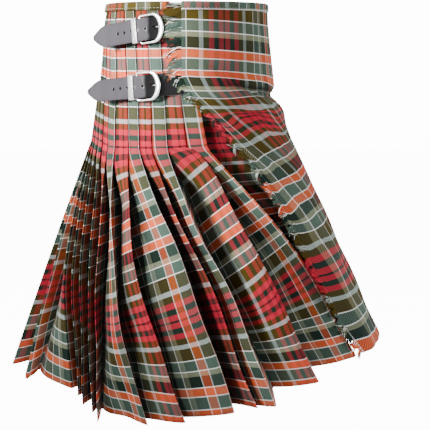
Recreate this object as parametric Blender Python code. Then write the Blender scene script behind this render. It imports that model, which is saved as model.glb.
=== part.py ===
"""Scottish kilt in its worn, hollow form: knife pleats, two aprons, waistband, straps and buckles.

Metres, +Z up, -Y is the wearer's front and -X the wearer's right. The origin is the middle of the
waist opening, in the plane of the top edge. Angles are in degrees around Z: 0 is the right hip,
90 the front, 180 the left hip and -90 the back.

Every warp thread of the cloth keeps its length: a point of the cloth is (across, down), and its
height follows from how far its thread has wandered sideways on the way down.
"""
from math import atan2, cos, degrees, hypot, pi, radians, sin, sqrt

import bmesh
import bpy
import numpy as np
from mathutils import Matrix, Vector

# ---------------------------------------------------------------- driving sizes
CLOTH_LENGTH = 0.585        # waist to hem, along a warp thread
CLOTH_WALL = 0.0010         # thickness of the cloth
CLOTH_TOP = -0.0016         # the cloth's own top edge, under the waistband
FELL_DEPTH = 0.205          # height of the stitched part of the pleats
HEM_DEPTH = 0.560           # depth at which the hem ring's radii are given
FLARE_POWER = 0.97          # under 1: the skirt swells a little below the hips
SEAM_GAP = 0.0003           # between neighbouring pieces

BACK_SEAM = 8               # the pleat whose return carries the back seam, from the left hip
PLEAT_COLUMNS = 9           # columns of points in one pleat
PLEAT_CLOTH = 0.123         # cloth in one pleat: half a sett of the tartan
CUT_CLOTH = 0.080           # the same above the fell, where the hidden folds are cut away
PLEAT_OPENING = 0.090       # the folds reach their full depth this far below the fell
HALF_WAY = 0.300            # half way down, where a pleat's first lie is given
CLOSED_SHARE = 0.964        # face minus return, as a share of the pitch, where pleats lie closed
CREASE_RADIUS = 0.0013      # half the width of a pressed crease

APRON_LIFT = 0.0028         # over apron, above the tips of the pleats
APRON_EDGE_LIFT = 0.0070    # the same at its fringed edge, which rides over the straps
UNDER_LIFT = -0.0040        # under apron, inside the over apron
FRINGE_REACH = 0.017
FRINGE_WALL = 0.0014
FRINGE_LIFT = 0.0005        # the tufts stand a little off the cloth's own face

BAND_HEIGHT = 0.0115
BAND_WALL = 0.0007
BAND_SLACK = 0.0009         # between the band's legs and the cloth
BAND_REACH = 0.0142         # inward, past the pleats' inner creases

STRAP_WIDTH = 0.0310
STRAP_WALL = 0.0020
STRAP_POINT = 0.0200        # length of the pointed tip
HOLE_RADIUS = 0.0013
PRONG_HOLE_RADIUS = 0.0044  # stretched by the prong
HOLE_PITCH = 0.0118
TAB_WALL = 0.0014
TAB_CLEAR = 0.0006          # between the bar and the tab round it
TAB_REACH = 0.0270          # how far the buckle's tab runs back from the bar
HIP_RADIUS = 0.155          # turns a distance along a strap into an angle
BAR_RADIUS = 0.0016
BAR_LIFT = 0.0077
FRAME_LENGTH = 0.0350       # bar to the middle of the curved end
FRAME_STRAIGHT = 0.0210     # length of a straight side
FRAME_HALF = 0.0189         # middle of the bar to the middle of a side
FRAME_END_HALF_WIDTH = 0.0036
FRAME_TILT = 0.0046         # how much further out the curved end stands than the bar
PRONG_HOLE = 0.0225         # forward of the bar, where the prong passes through the strap
PRONG_RADIUS = 0.0011
KEEPER_BACK = 0.0068        # keeper's middle, behind the bar
KEEPER_WIDTH = 0.0064
KEEPER_WALL = 0.0010
FRAME_CORNER = 0.0015       # how far forward of the bar the frame's corners turn
TAB_HALF_WIDTH = 0.0134
TAB_SLOT = (0.016, 0.0044, 0.014)   # cut in the tab for the prong: along, up and out
CUTTER_LENGTH = 0.016

# ---------------------------------------------------------------- tables
# The stitched part of the kilt: an ellipse at each depth.
#             depth, half width, half depth to the front, half depth to the back
BODY_RINGS = [
    (0.000, 0.1500, 0.1180, 0.1205),
    (0.030, 0.1520, 0.1195, 0.1262),
    (0.065, 0.1550, 0.1232, 0.1288),
    (0.120, 0.1595, 0.1298, 0.1345),
    (0.145, 0.1630, 0.1315, 0.1400),
    (0.165, 0.1670, 0.1420, 0.1432),
    (0.205, 0.1760, 0.1575, 0.1492),
]
# The skirt's outer reach at HEM_DEPTH.
#           angle, radius
HEM_RING = [
    (-170, 0.275), (-135, 0.273), (-104, 0.281), (-86, 0.286), (-72, 0.277), (-58, 0.279),
    (-40, 0.268), (-32, 0.277), (-25, 0.285), (-18, 0.269), (-11, 0.272), (0, 0.283),
    (14, 0.287), (24, 0.316), (41, 0.302), (52, 0.313), (61, 0.324), (75, 0.319),
    (90, 0.322), (104, 0.328), (130, 0.314), (160, 0.290),
]
# How long the cloth hangs, waist to hem: a little longer over the right hip.
#           angle at the waist, length
DROPS = [
    (-175, 0.585), (-90, 0.588), (-60, 0.606), (-35, 0.611), (-22, 0.603), (-9, 0.584),
    (20, 0.575), (90, 0.577), (150, 0.585),
]
# The pleats' outer creases, from the fringed edge round the back to the left hip. The last row
# is the crease at which the over apron turns under. Between the fell and the hem a crease runs
# ahead of its straight course by up to its swing, early where its haste is under 1.
#       at the waist, at the fell, at the hem, swing, haste
CREASES = [
    (-1.0, 9.0, 56.0, 9.5, 1.0), (-9.0, -0.5, 39.5, 7.4, 0.55), (-16.3, -9.4, 22.3, 5.0, 1.3),
    (-23.5, -17.0, 19.0, 4.7, 1.0), (-33.0, -23.7, 12.8, 5.3, 1.0), (-42.5, -29.9, 0.0, -2.0, 0.8),
    (-53.0, -40.0, -11.3, -1.0, 0.6), (-62.5, -46.5, -25.5, 0.0, 1.0),
    (-71.0, -53.0, -28.5, 0.0, 1.0), (-79.0, -60.0, -32.5, 0.0, 1.0),
    (-87.0, -67.5, -35.5, 0.0, 1.0), (-95.0, -75.0, -39.5, 0.0, 1.0),
    (-102.5, -83.0, -61.5, 0.0, 1.0), (-110.0, -91.0, -82.0, 0.0, 1.0),
    (-117.5, -99.0, -96.0, 0.0, 1.0), (-125.0, -107.0, -106.0, 0.0, 1.0),
    (-132.0, -115.5, -116.0, 0.0, 1.0), (-139.0, -124.0, -126.0, 0.0, 1.0),
    (-146.0, -132.5, -136.5, 0.0, 1.0), (-152.5, -141.0, -147.0, 0.0, 1.0),
    (-159.0, -150.0, -158.5, 0.0, 1.0), (-165.5, -160.0, -171.0, 0.0, 1.0),
    (-172.0, -171.5, -184.0, 0.0, 1.0),
]
# Where the under apron starts to lie flat, past the last pleat.
UNDER_START = (7.0, 18.5, 76.0, 9.5, 1.0)
# How each pleat lies below the fell, in the same order: how far its inner crease is folded back
# behind the outer one, half way down and at the hem, and the share of its cloth that hangs free
# at the hem.
FOLDS = [
    (0.62, 0.45, 1.0), (0.45, 0.45, 1.0), (0.40, 0.40, 1.0), (0.45, 0.45, 1.0), (0.45, 0.40, 1.0),
    (0.80, 0.95, 1.0), (0.55, 0.93, 1.0), (0.55, 0.85, 0.78), (0.45, 0.45, 1.0), (0.45, 0.45, 1.0),
    (0.45, 0.45, 1.0), (0.45, 0.45, 1.0), (0.45, 0.85, 1.0), (0.45, 0.60, 1.0), (0.45, 0.50, 1.0),
    (0.40, 0.35, 1.0), (0.45, 0.45, 1.0), (0.50, 0.55, 1.0), (0.45, 0.40, 1.0), (0.40, 0.35, 1.0),
    (0.45, 0.50, 1.0), (0.45, 0.45, 1.0), (0.40, 0.40, 1.0),
]
# The over apron's fringed edge.
#     down the cloth, angle
APRON_EDGE = [
    (0.000, -3.5), (0.100, -3.5), (0.128, 1.0), (0.165, 10.0), (0.209, 19.5), (0.268, 31.0),
    (0.338, 41.0), (0.412, 47.0), (0.511, 52.5), (0.585, 57.0),
]
UNDER_END = [(0.0, 166.0), (0.235, 162.0), (0.585, 156.0)]   # down the cloth, angle of its edge
ROWS = [0.0, 0.100, 0.155, 0.205, 0.260, 0.340, 0.450, CLOTH_LENGTH]    # down the cloth
APRON_COLUMNS = 27
UNDER_COLUMNS = 17
#     name, bar's angle, bar's depth, rise per metre forward, extra lift at the buckle and under the
#     over apron, reach forward
STRAPS = [
    ("upper", -25.4, 0.0394, 0.145, -0.0009, 0.0008, 0.0735),
    ("lower", -25.8, 0.1180, 0.110, 0.0019, 0.0, 0.074),
]
# A strap's middle above the ring of crease tips: distance forward of the bar, lift.
STRAP_LIFTS = [
    (-0.0775, 0.0325), (-0.0575, 0.0222), (-0.036, 0.0157), (-0.015, 0.0129), (0.0, 0.0126),
    (0.006, 0.0124), (0.012, 0.0119), (0.017, 0.0106), (0.0225, 0.0080), (0.0265, 0.0058),
    (0.031, 0.0047), (0.046, 0.0045), (0.060, 0.0040), (0.100, 0.0036),
]
STRAP_STATIONS = 24

MATERIALS = {
    # name: base colour, metallic, roughness
    "tartan": ((0.16, 0.06, 0.04, 1.0), 0.0, 0.9),
    "band": ((0.09, 0.10, 0.05, 1.0), 0.0, 0.9),
    "fringe": ((0.30, 0.10, 0.07, 1.0), 0.0, 0.95),
    "leather": ((0.02, 0.018, 0.02, 1.0), 0.0, 0.4),
    "chrome": ((0.75, 0.75, 0.76, 1.0), 1.0, 0.15),
}


# ---------------------------------------------------------------- small helpers
def table(rows, column, at):
    """Linear reading of one column of a table whose first column rises."""
    return float(np.interp(at, [row[0] for row in rows], [row[column] for row in rows]))


def smooth(t):
    t = min(max(t, 0.0), 1.0)
    return t * t * (3 - 2 * t)


def hem_radius(angle):
    """Radius of the skirt at HEM_DEPTH, eased between the rows of HEM_RING."""
    angles = [row[0] for row in HEM_RING] + [HEM_RING[0][0] + 360]
    radii = [row[1] for row in HEM_RING] + [HEM_RING[0][1]]
    a = (angle - angles[0]) % 360 + angles[0]
    i = max(j for j in range(len(HEM_RING)) if angles[j] <= a)
    t = smooth((a - angles[i]) / (angles[i + 1] - angles[i]))
    return radii[i] + (radii[i + 1] - radii[i]) * t


def ring_radius(depth, angle):
    """Radius of the ring that the pleats' creases lie on, at a depth below the top edge."""
    stitched = min(depth, FELL_DEPTH)
    c, s = cos(radians(angle)), sin(radians(angle))
    reach = table(BODY_RINGS, 2 if s > 0 else 3, stitched)
    body = 1 / sqrt((c / table(BODY_RINGS, 1, stitched)) ** 2 + (s / reach) ** 2)
    if depth <= FELL_DEPTH:
        return body
    share = ((depth - FELL_DEPTH) / (HEM_DEPTH - FELL_DEPTH)) ** FLARE_POWER
    return body + (hem_radius(angle) - body) * share


def on_ring(depth, angle, lift=0.0):
    r = ring_radius(depth, angle) + lift
    return Vector((-r * cos(radians(angle)), -r * sin(radians(angle)), -depth))


def drop_share(angle):
    """How much longer than CLOTH_LENGTH the cloth hangs from this place on the waist."""
    return table(DROPS, 1, angle) / CLOTH_LENGTH


def hang(angle_at, lift_at, rows=ROWS):
    """Points down one warp thread that keeps to the ring, each step as long as the cloth's."""
    points = []
    depth = -CLOTH_TOP
    share = drop_share(angle_at(0.0))
    for i, row in enumerate(rows):
        if i:
            step, before = (row - rows[i - 1]) * share, points[-1]
            drop = step
            for _ in range(12):
                now = on_ring(depth + drop, angle_at(row), lift_at(row))
                aside = hypot(now.x - before.x, now.y - before.y)
                drop = 0.5 * drop + 0.5 * sqrt(max(step**2 - aside**2, (0.3 * step) ** 2))
            depth += drop
        points.append(on_ring(depth, angle_at(row), lift_at(row)))
    return points


def let_down(plan, share):
    """Points down a thread whose place in plan is known at each row."""
    points = [Vector((plan[0].x, plan[0].y, CLOTH_TOP))]
    for i in range(1, len(ROWS)):
        step = (ROWS[i] - ROWS[i - 1]) * share
        aside = hypot(plan[i].x - plan[i - 1].x, plan[i].y - plan[i - 1].y)
        drop = sqrt(max(step**2 - aside**2, (0.3 * step) ** 2))
        points.append(Vector((plan[i].x, plan[i].y, points[-1].z - drop)))
    return points


# ---------------------------------------------------------------- objects
def material(name):
    found = bpy.data.materials.get(name)
    if found:
        return found
    made = bpy.data.materials.new(name)
    made.use_nodes = True
    colour, metallic, roughness = MATERIALS[name]
    shader = made.node_tree.nodes["Principled BSDF"]
    shader.inputs["Base Color"].default_value = colour
    shader.inputs["Metallic"].default_value = metallic
    shader.inputs["Roughness"].default_value = roughness
    made.diffuse_color = colour
    return made


def add_object(name, points, faces, material_name):
    mesh = bpy.data.meshes.new(name)
    mesh.from_pydata([tuple(p) for p in points], [], faces)
    mesh.update()
    thing = bpy.data.objects.new(name, mesh)
    mesh.materials.append(material(material_name))
    bpy.context.scene.collection.objects.link(thing)
    return thing


def add_cloth(name, columns, material_name, wall=CLOTH_WALL):
    """A wall of cloth through columns of points, each column running down the cloth."""
    rows = len(columns[0])
    points = [p for column in columns for p in column]
    faces = [
        (c * rows + r, c * rows + r + 1, (c + 1) * rows + r + 1, (c + 1) * rows + r)
        for c in range(len(columns) - 1)
        for r in range(rows - 1)
    ]
    thing = add_object(name, points, faces, material_name)
    thicken = thing.modifiers.new("Wall", "SOLIDIFY")
    thicken.thickness = wall
    thicken.offset = 0.0
    return thing


def cut(thing, cutter):
    cutter.hide_render = True
    cutter.display_type = "WIRE"
    hole = thing.modifiers.new("Cut " + cutter.name, "BOOLEAN")
    hole.operation = "DIFFERENCE"
    hole.object = cutter


def tube(name, path, radii, material_name, sides=8, closed=False, flat=(0, 0, 1), widths=None):
    """A bar along a path, with a radius at each point, and a half width where it isn't round."""
    path = [Vector(p) for p in path]
    count, points, faces = len(path), [], []
    for i, p in enumerate(path):
        ahead = path[(i + 1) % count] if closed or i < count - 1 else p
        behind = path[i - 1] if closed or i else p
        along = (ahead - behind).normalized()
        across = Vector(flat).cross(along).normalized()
        up = along.cross(across)
        for s in range(sides):
            turn = 2 * pi * s / sides
            wide = widths[i] if widths else radii[i]
            points.append(p + wide * cos(turn) * across + radii[i] * sin(turn) * up)
    for i in range(count if closed else count - 1):
        j = (i + 1) % count
        for s in range(sides):
            t = (s + 1) % sides
            faces.append((i * sides + s, i * sides + t, j * sides + t, j * sides + s))
    if not closed:
        faces.append(tuple(reversed(range(sides))))
        faces.append(tuple((count - 1) * sides + s for s in range(sides)))
    return add_object(name, points, faces, material_name)


# ---------------------------------------------------------------- pleats
def crease_angle(crease, row):
    """Angle of an outer crease at a distance down the cloth."""
    waist, fell, hem, swing, haste = crease
    if row <= FELL_DEPTH:
        return waist + (fell - waist) * row / FELL_DEPTH
    share = (row - FELL_DEPTH) / (CLOTH_LENGTH - FELL_DEPTH)
    return fell + (hem - fell) * share + swing * sin(pi * share**haste)


def pleat_cloth(row):
    """Cloth in one pleat: the hidden folds are cut away above the fell."""
    opened = smooth((row - FELL_DEPTH) / PLEAT_OPENING)
    return CUT_CLOTH + (PLEAT_CLOTH - CUT_CLOTH) * opened


def polar(point):
    """Angle, and lift above the ring, of a point."""
    angle = degrees(atan2(-point.y, -point.x))
    return angle, hypot(point.x, point.y) - ring_radius(-point.z, angle)


def valley(behind, ahead, row, fold):
    """Inner crease between two outer ones, from the cloth in one pleat, at their mean depth."""
    half_way, at_hem, free = fold
    pitch = hypot(ahead.x - behind.x, ahead.y - behind.y)
    cloth = pleat_cloth(row) * (1 + (free - 1) * smooth((row - HALF_WAY) / HALF_WAY))
    opened = smooth((row - FELL_DEPTH) / PLEAT_OPENING)
    hanging = table([(HALF_WAY, half_way), (CLOTH_LENGTH, at_hem)], 1, row)
    back = CLOSED_SHARE + (hanging - CLOSED_SHARE) * opened
    sink = sqrt(max(cloth**2 - pitch**2, 1e-8)) / 2 * sqrt(1 - back**2)
    from_angle = polar(behind)[0]
    turn = (polar(ahead)[0] - from_angle + 180) % 360 - 180
    depth = -(behind.z + ahead.z) / 2
    radius = ring_radius(depth, from_angle + turn / 2) - sink / 2
    angle = from_angle + turn / 2 - degrees(cloth * back / 2 / radius)
    return on_ring(depth, angle, -sink)


def between(start, end, share):
    """A point on a panel of cloth that follows the body from one crease to the next."""
    (angle_a, lift_a), (angle_b, lift_b) = polar(start), polar(end)
    turn = (angle_b - angle_a + 180) % 360 - 180
    depth = -(start.z + (end.z - start.z) * share)
    return on_ring(depth, angle_a + turn * share, lift_a + (lift_b - lift_a) * share)


def turn_points(tip, arriving, leaving):
    """Three points that take the cloth round a crease at tip."""
    flat = [Vector((p.x, p.y)) for p in (tip, arriving, leaving)]
    into, away = (flat[0] - flat[1]).normalized(), (flat[0] - flat[2]).normalized()
    pointing = (into + away).normalized()
    side = Vector((-pointing.y, pointing.x))
    if side.dot(into) > side.dot(away):
        side = -side
    back = flat[0] - pointing * CREASE_RADIUS
    near, far = back + side * CREASE_RADIUS, back - side * CREASE_RADIUS
    return [Vector((near.x, near.y, tip.z)), tip, Vector((far.x, far.y, tip.z))]


def pleat_columns():
    """The pleated cloth as columns of points, nine to a pleat.

    They run from the over apron's turn at the left hip, round the back, to the under apron:
    for each outer crease its three points, the return's middle, the three points of the inner
    crease and two points of the next face.
    """
    outer = [
        hang(lambda row, c=crease: crease_angle(c, row), lambda row: 0.0)
        for crease in reversed([UNDER_START] + CREASES)
    ]
    inner = []
    for behind, ahead, fold in zip(outer, outer[1:], reversed(FOLDS)):
        plan = [valley(b, a, row, fold) for b, a, row in zip(behind, ahead, ROWS)]
        inner.append(let_down(plan, drop_share(polar(behind[0])[0])))
    columns = [[] for _ in range(PLEAT_COLUMNS * len(inner))]
    for r in range(len(ROWS)):
        face_end = between(outer[0][r], on_ring(-outer[0][r].z, polar(outer[0][r])[0] - 10), 1.0)
        for k, low in enumerate(inner):
            out, dip = outer[k][r], low[r]
            back = between(out, dip, 0.5)
            face = [between(dip, outer[k + 1][r], share) for share in (1 / 3, 2 / 3)]
            points = turn_points(out, face_end, back) + [back]
            points += turn_points(dip, back, face[0]) + face
            for column, point in zip(columns[PLEAT_COLUMNS * k :], points):
                column.append(point)
            face_end = face[-1]
    return columns


def seam(columns, at):
    """The two edges of a seam that cuts the cloth halfway between a column and the next."""
    a, b = columns[at], columns[at + 1]
    half = SEAM_GAP / 2 / (b[0] - a[0]).length
    return [[p + (q - p) * share for p, q in zip(a, b)] for share in (0.5 - half, 0.5 + half)]


# ---------------------------------------------------------------- aprons
def over_lift(row, across):
    """Lift of the over apron: its fringed edge rides over the straps, its left edge sinks
    back to the crease where it turns under."""
    ride = (APRON_EDGE_LIFT - APRON_LIFT) * (1 - smooth((across - 0.03) / 0.10))
    ride *= 1 - 0.7 * smooth((row - 0.16) / 0.10)
    sink = (APRON_LIFT - CREASE_RADIUS) * smooth((across - 0.94) / 0.06)
    return APRON_LIFT + ride - sink


def over_angle(row, across):
    fringed, left = table(APRON_EDGE, 1, row), crease_angle(CREASES[-1], row) + 360
    return fringed + (left - fringed) * across


def under_angle(row, across):
    start, end = crease_angle(UNDER_START, row), table(UNDER_END, 1, row)
    return start + (end - start) * across


def refine(items):
    """The items with the middle of each neighbouring pair between them."""
    finer = [items[0]]
    for a, b in zip(items, items[1:]):
        finer += [(a + b) / 2, b]
    return finer


def add_aprons_and_pleats():
    pleats = pleat_columns()
    hip = seam(pleats, 0)                                       # at the over apron's turn
    back = seam(pleats, PLEAT_COLUMNS * BACK_SEAM + 2)                      # in a return at the back
    last = len(pleats) - 7
    end = seam(pleats, last)                                    # in the last pleat's return
    middle = PLEAT_COLUMNS * BACK_SEAM + 3

    fine = refine(ROWS)
    shares = [i / APRON_COLUMNS for i in range(APRON_COLUMNS)]
    over = [
        hang(lambda row, s=s: over_angle(row, s), lambda row, s=s: over_lift(row, s), fine)
        for s in shares
    ]
    add_cloth("over_apron", over + [refine(pleats[0]), refine(hip[0])], "tartan")
    add_cloth("pleats_left", [hip[1]] + pleats[1:middle] + [back[0]], "tartan")
    add_cloth("pleats_right", [back[1]] + pleats[middle : last + 1] + [end[0]], "tartan")
    shares = [i / UNDER_COLUMNS for i in range(UNDER_COLUMNS + 1)]
    under = [hang(lambda row, s=s: under_angle(row, s), lambda row: UNDER_LIFT, fine) for s in shares]
    first = [refine(column) for column in [end[1]] + pleats[last + 1 :]]
    add_cloth("under_apron", first + under, "tartan")


def add_fringe():
    """Plain solid of the fringe's reach, along the over apron's free edge."""
    def angle_at(row, out):
        edge = over_angle(row, 0.0)
        return edge - degrees(out / ring_radius(min(row * 0.93, HEM_DEPTH), edge))

    def lift_at(row):
        return over_lift(row, 0.0) + FRINGE_LIFT

    reaches = [SEAM_GAP * 1.2 + FRINGE_REACH * share for share in (0.0, 0.5, 1.0)]
    columns = [
        hang(lambda row, d=d: angle_at(row, d), lift_at, refine(ROWS))
        for d in reaches
    ]
    add_cloth("apron_fringe", columns, "fringe", FRINGE_WALL)


# ---------------------------------------------------------------- waistband
def add_band(name, start, end, outer_lift, inner_lift, step=8.0):
    """A binding folded over the top edge: outer leg, top and inner leg.

    Its lifts are functions of the angle.
    """
    count = max(2, round((end - start) / step))
    points, faces, sides = [], [], 8
    for i in range(count + 1):
        angle = start + (end - start) * i / count
        out, into = outer_lift(angle), inner_lift(angle)
        profile = [
            (out, BAND_HEIGHT), (out + BAND_WALL, BAND_HEIGHT), (out + BAND_WALL, 0.0),
            (into - BAND_WALL, 0.0), (into - BAND_WALL, BAND_HEIGHT), (into, BAND_HEIGHT),
            (into, BAND_WALL), (out, BAND_WALL),
        ]
        points += [on_ring(depth, angle, lift) for lift, depth in profile]
    for i in range(count):
        for j in range(sides):
            k = (j + 1) % sides
            faces.append((i * sides + j, i * sides + k, (i + 1) * sides + k, (i + 1) * sides + j))
    faces.append(tuple(reversed(range(sides))))
    faces.append(tuple(count * sides + j for j in range(sides)))
    return add_object(name, points, faces, "band")


def add_waistbands():
    half = CLOTH_WALL / 2 + BAND_SLACK
    fringed, left = over_angle(0.0, 0.0), over_angle(0.0, 1.0)
    lift = lambda angle: over_lift(0.0, (angle - fringed) / (left - fringed))
    add_band("waistband_apron", fringed + 0.4, 176.0,
             lambda angle: lift(angle) + half, lambda angle: lift(angle) - half)
    add_band("waistband_pleats", -170.0, -10.5,
             lambda angle: CREASE_RADIUS + half + SEAM_GAP, lambda angle: -BAND_REACH)


# ---------------------------------------------------------------- straps and buckles
def strap_point(strap, forward, lift, up=0.0):
    """A point above the pleats: distance forward of the bar, lift, and height on the strap."""
    _, bar_angle, bar_depth, rise, at_buckle, under_apron, _ = strap
    sewn = smooth((forward - FRAME_LENGTH) / FRAME_STRAIGHT)
    extra = at_buckle * (1 - sewn) + under_apron * sewn
    angle = bar_angle + degrees(forward / HIP_RADIUS)
    depth = bar_depth - rise * forward
    here = on_ring(depth, angle, lift + extra)
    above = (on_ring(depth - 0.001, angle, lift + extra) - here).normalized()
    ahead = (on_ring(depth, angle + 0.1, lift + extra) - here).normalized()
    return here + (above - rise * ahead).normalized() * up


def strap_half_width(forward):
    start = STRAP_LIFTS[0][0]
    share = min((forward - start) / STRAP_POINT, 1.0)
    return STRAP_WIDTH / 2 * (0.16 + 0.84 * sin(pi / 2 * share))


def strap_axes(strap, forward, lift):
    here = strap_point(strap, forward, lift)
    along = (strap_point(strap, forward + 0.002, lift) - here).normalized()
    up = (strap_point(strap, forward, lift, 0.002) - here).normalized()
    return here, along, up, along.cross(up).normalized()


def add_strap(strap):
    name, *_, reach = strap
    start = STRAP_LIFTS[0][0]
    stations = [start + (reach - start) * (i / STRAP_STATIONS) for i in range(STRAP_STATIONS + 1)]
    stations.insert(1, start + 0.002)
    columns = []
    for forward in stations:
        lift, half = table(STRAP_LIFTS, 1, forward), strap_half_width(forward)
        columns.append([strap_point(strap, forward, lift, up) for up in (half, 0.0, -half)])
    thing = add_cloth("strap_" + name, columns, "leather", STRAP_WALL)

    # The prong passes through one hole; the rest stay open.
    for number, forward in enumerate([PRONG_HOLE - HOLE_PITCH * n for n in (0, 1, 3, 4, 5)]):
        lift = table(STRAP_LIFTS, 1, forward)
        here, _, _, out = strap_axes(strap, forward, lift)
        radius = HOLE_RADIUS if number else PRONG_HOLE_RADIUS
        bpy.ops.mesh.primitive_cylinder_add(vertices=10, radius=radius, depth=CUTTER_LENGTH, location=here)
        cutter = bpy.context.object
        cutter.name = f"hole_cutter_{name}_{number}"
        cutter.rotation_euler = out.to_track_quat("Z", "Y").to_euler()
        cut(thing, cutter)


def add_tab(strap):
    """Leather tab that carries the buckle: it runs under the strap and turns round the bar."""
    name = strap[0]
    turn = BAR_RADIUS + TAB_CLEAR + TAB_WALL / 2
    path = [(-TAB_REACH + TAB_REACH * i / 5, BAR_LIFT - turn) for i in range(6)]
    path += [(turn * sin(pi * i / 6), BAR_LIFT - turn * cos(pi * i / 6)) for i in range(1, 7)]
    path += [(-0.004, BAR_LIFT + turn)]
    half = TAB_HALF_WIDTH
    columns = [[strap_point(strap, f, lift, up) for up in (half, -half)] for f, lift in path]
    thing = add_cloth("tab_" + name, columns, "leather", TAB_WALL)
    here, along, up, out = strap_axes(strap, 0.0, BAR_LIFT)
    bpy.ops.mesh.primitive_cube_add(size=1, location=here + along * 0.002)
    cutter = bpy.context.object
    cutter.name = "slot_cutter_" + name
    cutter.scale = TAB_SLOT
    cutter.rotation_euler = Matrix((along, up, out)).transposed().to_euler()
    cut(thing, cutter)


def add_buckle(strap):
    """D shaped frame, its prong, and the keeper beside it."""
    name = strap[0]
    bar, _, up, _ = strap_axes(strap, 0.0, BAR_LIFT)
    end = strap_point(strap, FRAME_LENGTH, BAR_LIFT + FRAME_TILT)
    along = (end - bar).normalized()
    out = along.cross(up).normalized()
    up = out.cross(along)
    place = lambda x, y, z=0.0: bar + along * x + up * y + out * z

    path, widths = [], []
    for i in range(9):
        path.append(place(0.0, FRAME_HALF * 0.84 * (1 - i / 4)))
        widths.append(BAR_RADIUS)
    path.append(place(FRAME_CORNER, -FRAME_HALF + SEAM_GAP))
    widths.append(BAR_RADIUS)
    steps = 14
    for i in range(steps + 1):
        turn = -pi / 2 + pi * i / steps
        x = FRAME_STRAIGHT + (FRAME_LENGTH - FRAME_STRAIGHT) * cos(turn)
        path.append(place(x, FRAME_HALF * sin(turn)))
        widths.append(BAR_RADIUS + (FRAME_END_HALF_WIDTH - BAR_RADIUS) * smooth(cos(turn)))
    path.append(place(FRAME_CORNER, FRAME_HALF - SEAM_GAP))
    widths.append(BAR_RADIUS)
    radii = [BAR_RADIUS] * len(path)
    tube("buckle_frame_" + name, path, radii, "chrome", closed=True, flat=out, widths=widths)

    # The prong starts just clear of the bar, runs under the strap, comes up through its hole
    # and rests on the curved end.
    clear = BAR_RADIUS + SEAM_GAP + PRONG_RADIUS
    prong = [(clear, -clear * 0.2), (0.012, -0.0007), (0.018, -0.0022), (PRONG_HOLE, -0.0019),
             (0.027, 0.0006), (0.0305, 0.0029), (FRAME_LENGTH + 0.0014, clear + 0.0002)]
    tube("buckle_prong_" + name, [place(x, 0.0, z) for x, z in prong],
         [PRONG_RADIUS] * 6 + [PRONG_RADIUS * 0.7], "chrome", flat=up)

    # Keeper: a flat loop round the strap and the tab.
    low = BAR_LIFT - BAR_RADIUS - TAB_CLEAR - TAB_WALL - SEAM_GAP - KEEPER_WALL
    high = table(STRAP_LIFTS, 1, -KEEPER_BACK) + STRAP_WALL / 2 + SEAM_GAP * 2
    half = STRAP_WIDTH / 2 + SEAM_GAP * 4
    loop = [(low, half), (low, -half), (high, -half), (high, half)]
    wide = [(low - KEEPER_WALL, half + KEEPER_WALL), (low - KEEPER_WALL, -half - KEEPER_WALL),
            (high + KEEPER_WALL, -half - KEEPER_WALL), (high + KEEPER_WALL, half + KEEPER_WALL)]
    points, faces = [], []
    for forward in (-KEEPER_BACK - KEEPER_WIDTH / 2, -KEEPER_BACK + KEEPER_WIDTH / 2):
        points += [strap_point(strap, forward, lift, y) for lift, y in loop + wide]
    for i in range(4):
        j = (i + 1) % 4
        faces += [(i, j, 8 + j, 8 + i), (4 + j, 4 + i, 12 + i, 12 + j),
                  (j, i, 4 + i, 4 + j), (8 + i, 8 + j, 12 + j, 12 + i)]
    add_object("keeper_" + name, points, faces, "chrome")


def face_outward():
    """Turn each mesh's faces out of its body."""
    for thing in bpy.data.objects:
        if thing.type != "MESH" or any(m.type == "SOLIDIFY" for m in thing.modifiers):
            continue
        mesh = bmesh.new()
        mesh.from_mesh(thing.data)
        bmesh.ops.recalc_face_normals(mesh, faces=mesh.faces)
        mesh.to_mesh(thing.data)
        mesh.free()


def main():
    for thing in list(bpy.data.objects):
        bpy.data.objects.remove(thing, do_unlink=True)
    add_aprons_and_pleats()
    add_fringe()
    add_waistbands()
    for strap in STRAPS:
        add_strap(strap)
        add_tab(strap)
        add_buckle(strap)
    face_outward()


main()
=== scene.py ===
"""Scottish kilt in its worn form, dressed round its solid frame.

Metres, +Z up, -Y is the wearer's front and -X the wearer's right hip. Angles are in degrees round
Z: 0 is the right hip, 90 the front, 180 the left hip and -90 the back. A place on the cloth is
(across, down): across runs from the left hip round the back to the right hip, down from the waist.
"""
import logging
import random
from dataclasses import dataclass, field
from enum import Enum
from math import cos, degrees, pi, radians, sin
from typing import Callable, Sequence

import bmesh
import bpy
import numpy as np
from bpy.types import ID, Material, Mesh, Node, NodeSocket, NodeTree, Object
from mathutils import Matrix, Vector


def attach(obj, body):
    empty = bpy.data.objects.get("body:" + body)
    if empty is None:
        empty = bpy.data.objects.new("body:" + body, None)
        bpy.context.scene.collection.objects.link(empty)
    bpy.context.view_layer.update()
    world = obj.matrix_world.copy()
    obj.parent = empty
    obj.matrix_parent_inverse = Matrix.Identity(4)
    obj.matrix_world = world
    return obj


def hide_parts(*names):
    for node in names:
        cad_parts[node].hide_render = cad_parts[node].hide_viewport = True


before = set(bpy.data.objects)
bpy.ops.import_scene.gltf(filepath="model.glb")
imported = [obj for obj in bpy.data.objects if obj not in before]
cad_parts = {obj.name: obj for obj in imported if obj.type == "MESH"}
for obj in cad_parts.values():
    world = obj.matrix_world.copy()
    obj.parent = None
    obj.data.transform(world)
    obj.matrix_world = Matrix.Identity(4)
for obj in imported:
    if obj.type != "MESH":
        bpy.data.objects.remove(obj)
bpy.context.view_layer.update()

log = logging.getLogger("kilt")
Array = np.ndarray
Table = Sequence[tuple[float, ...]]

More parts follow.
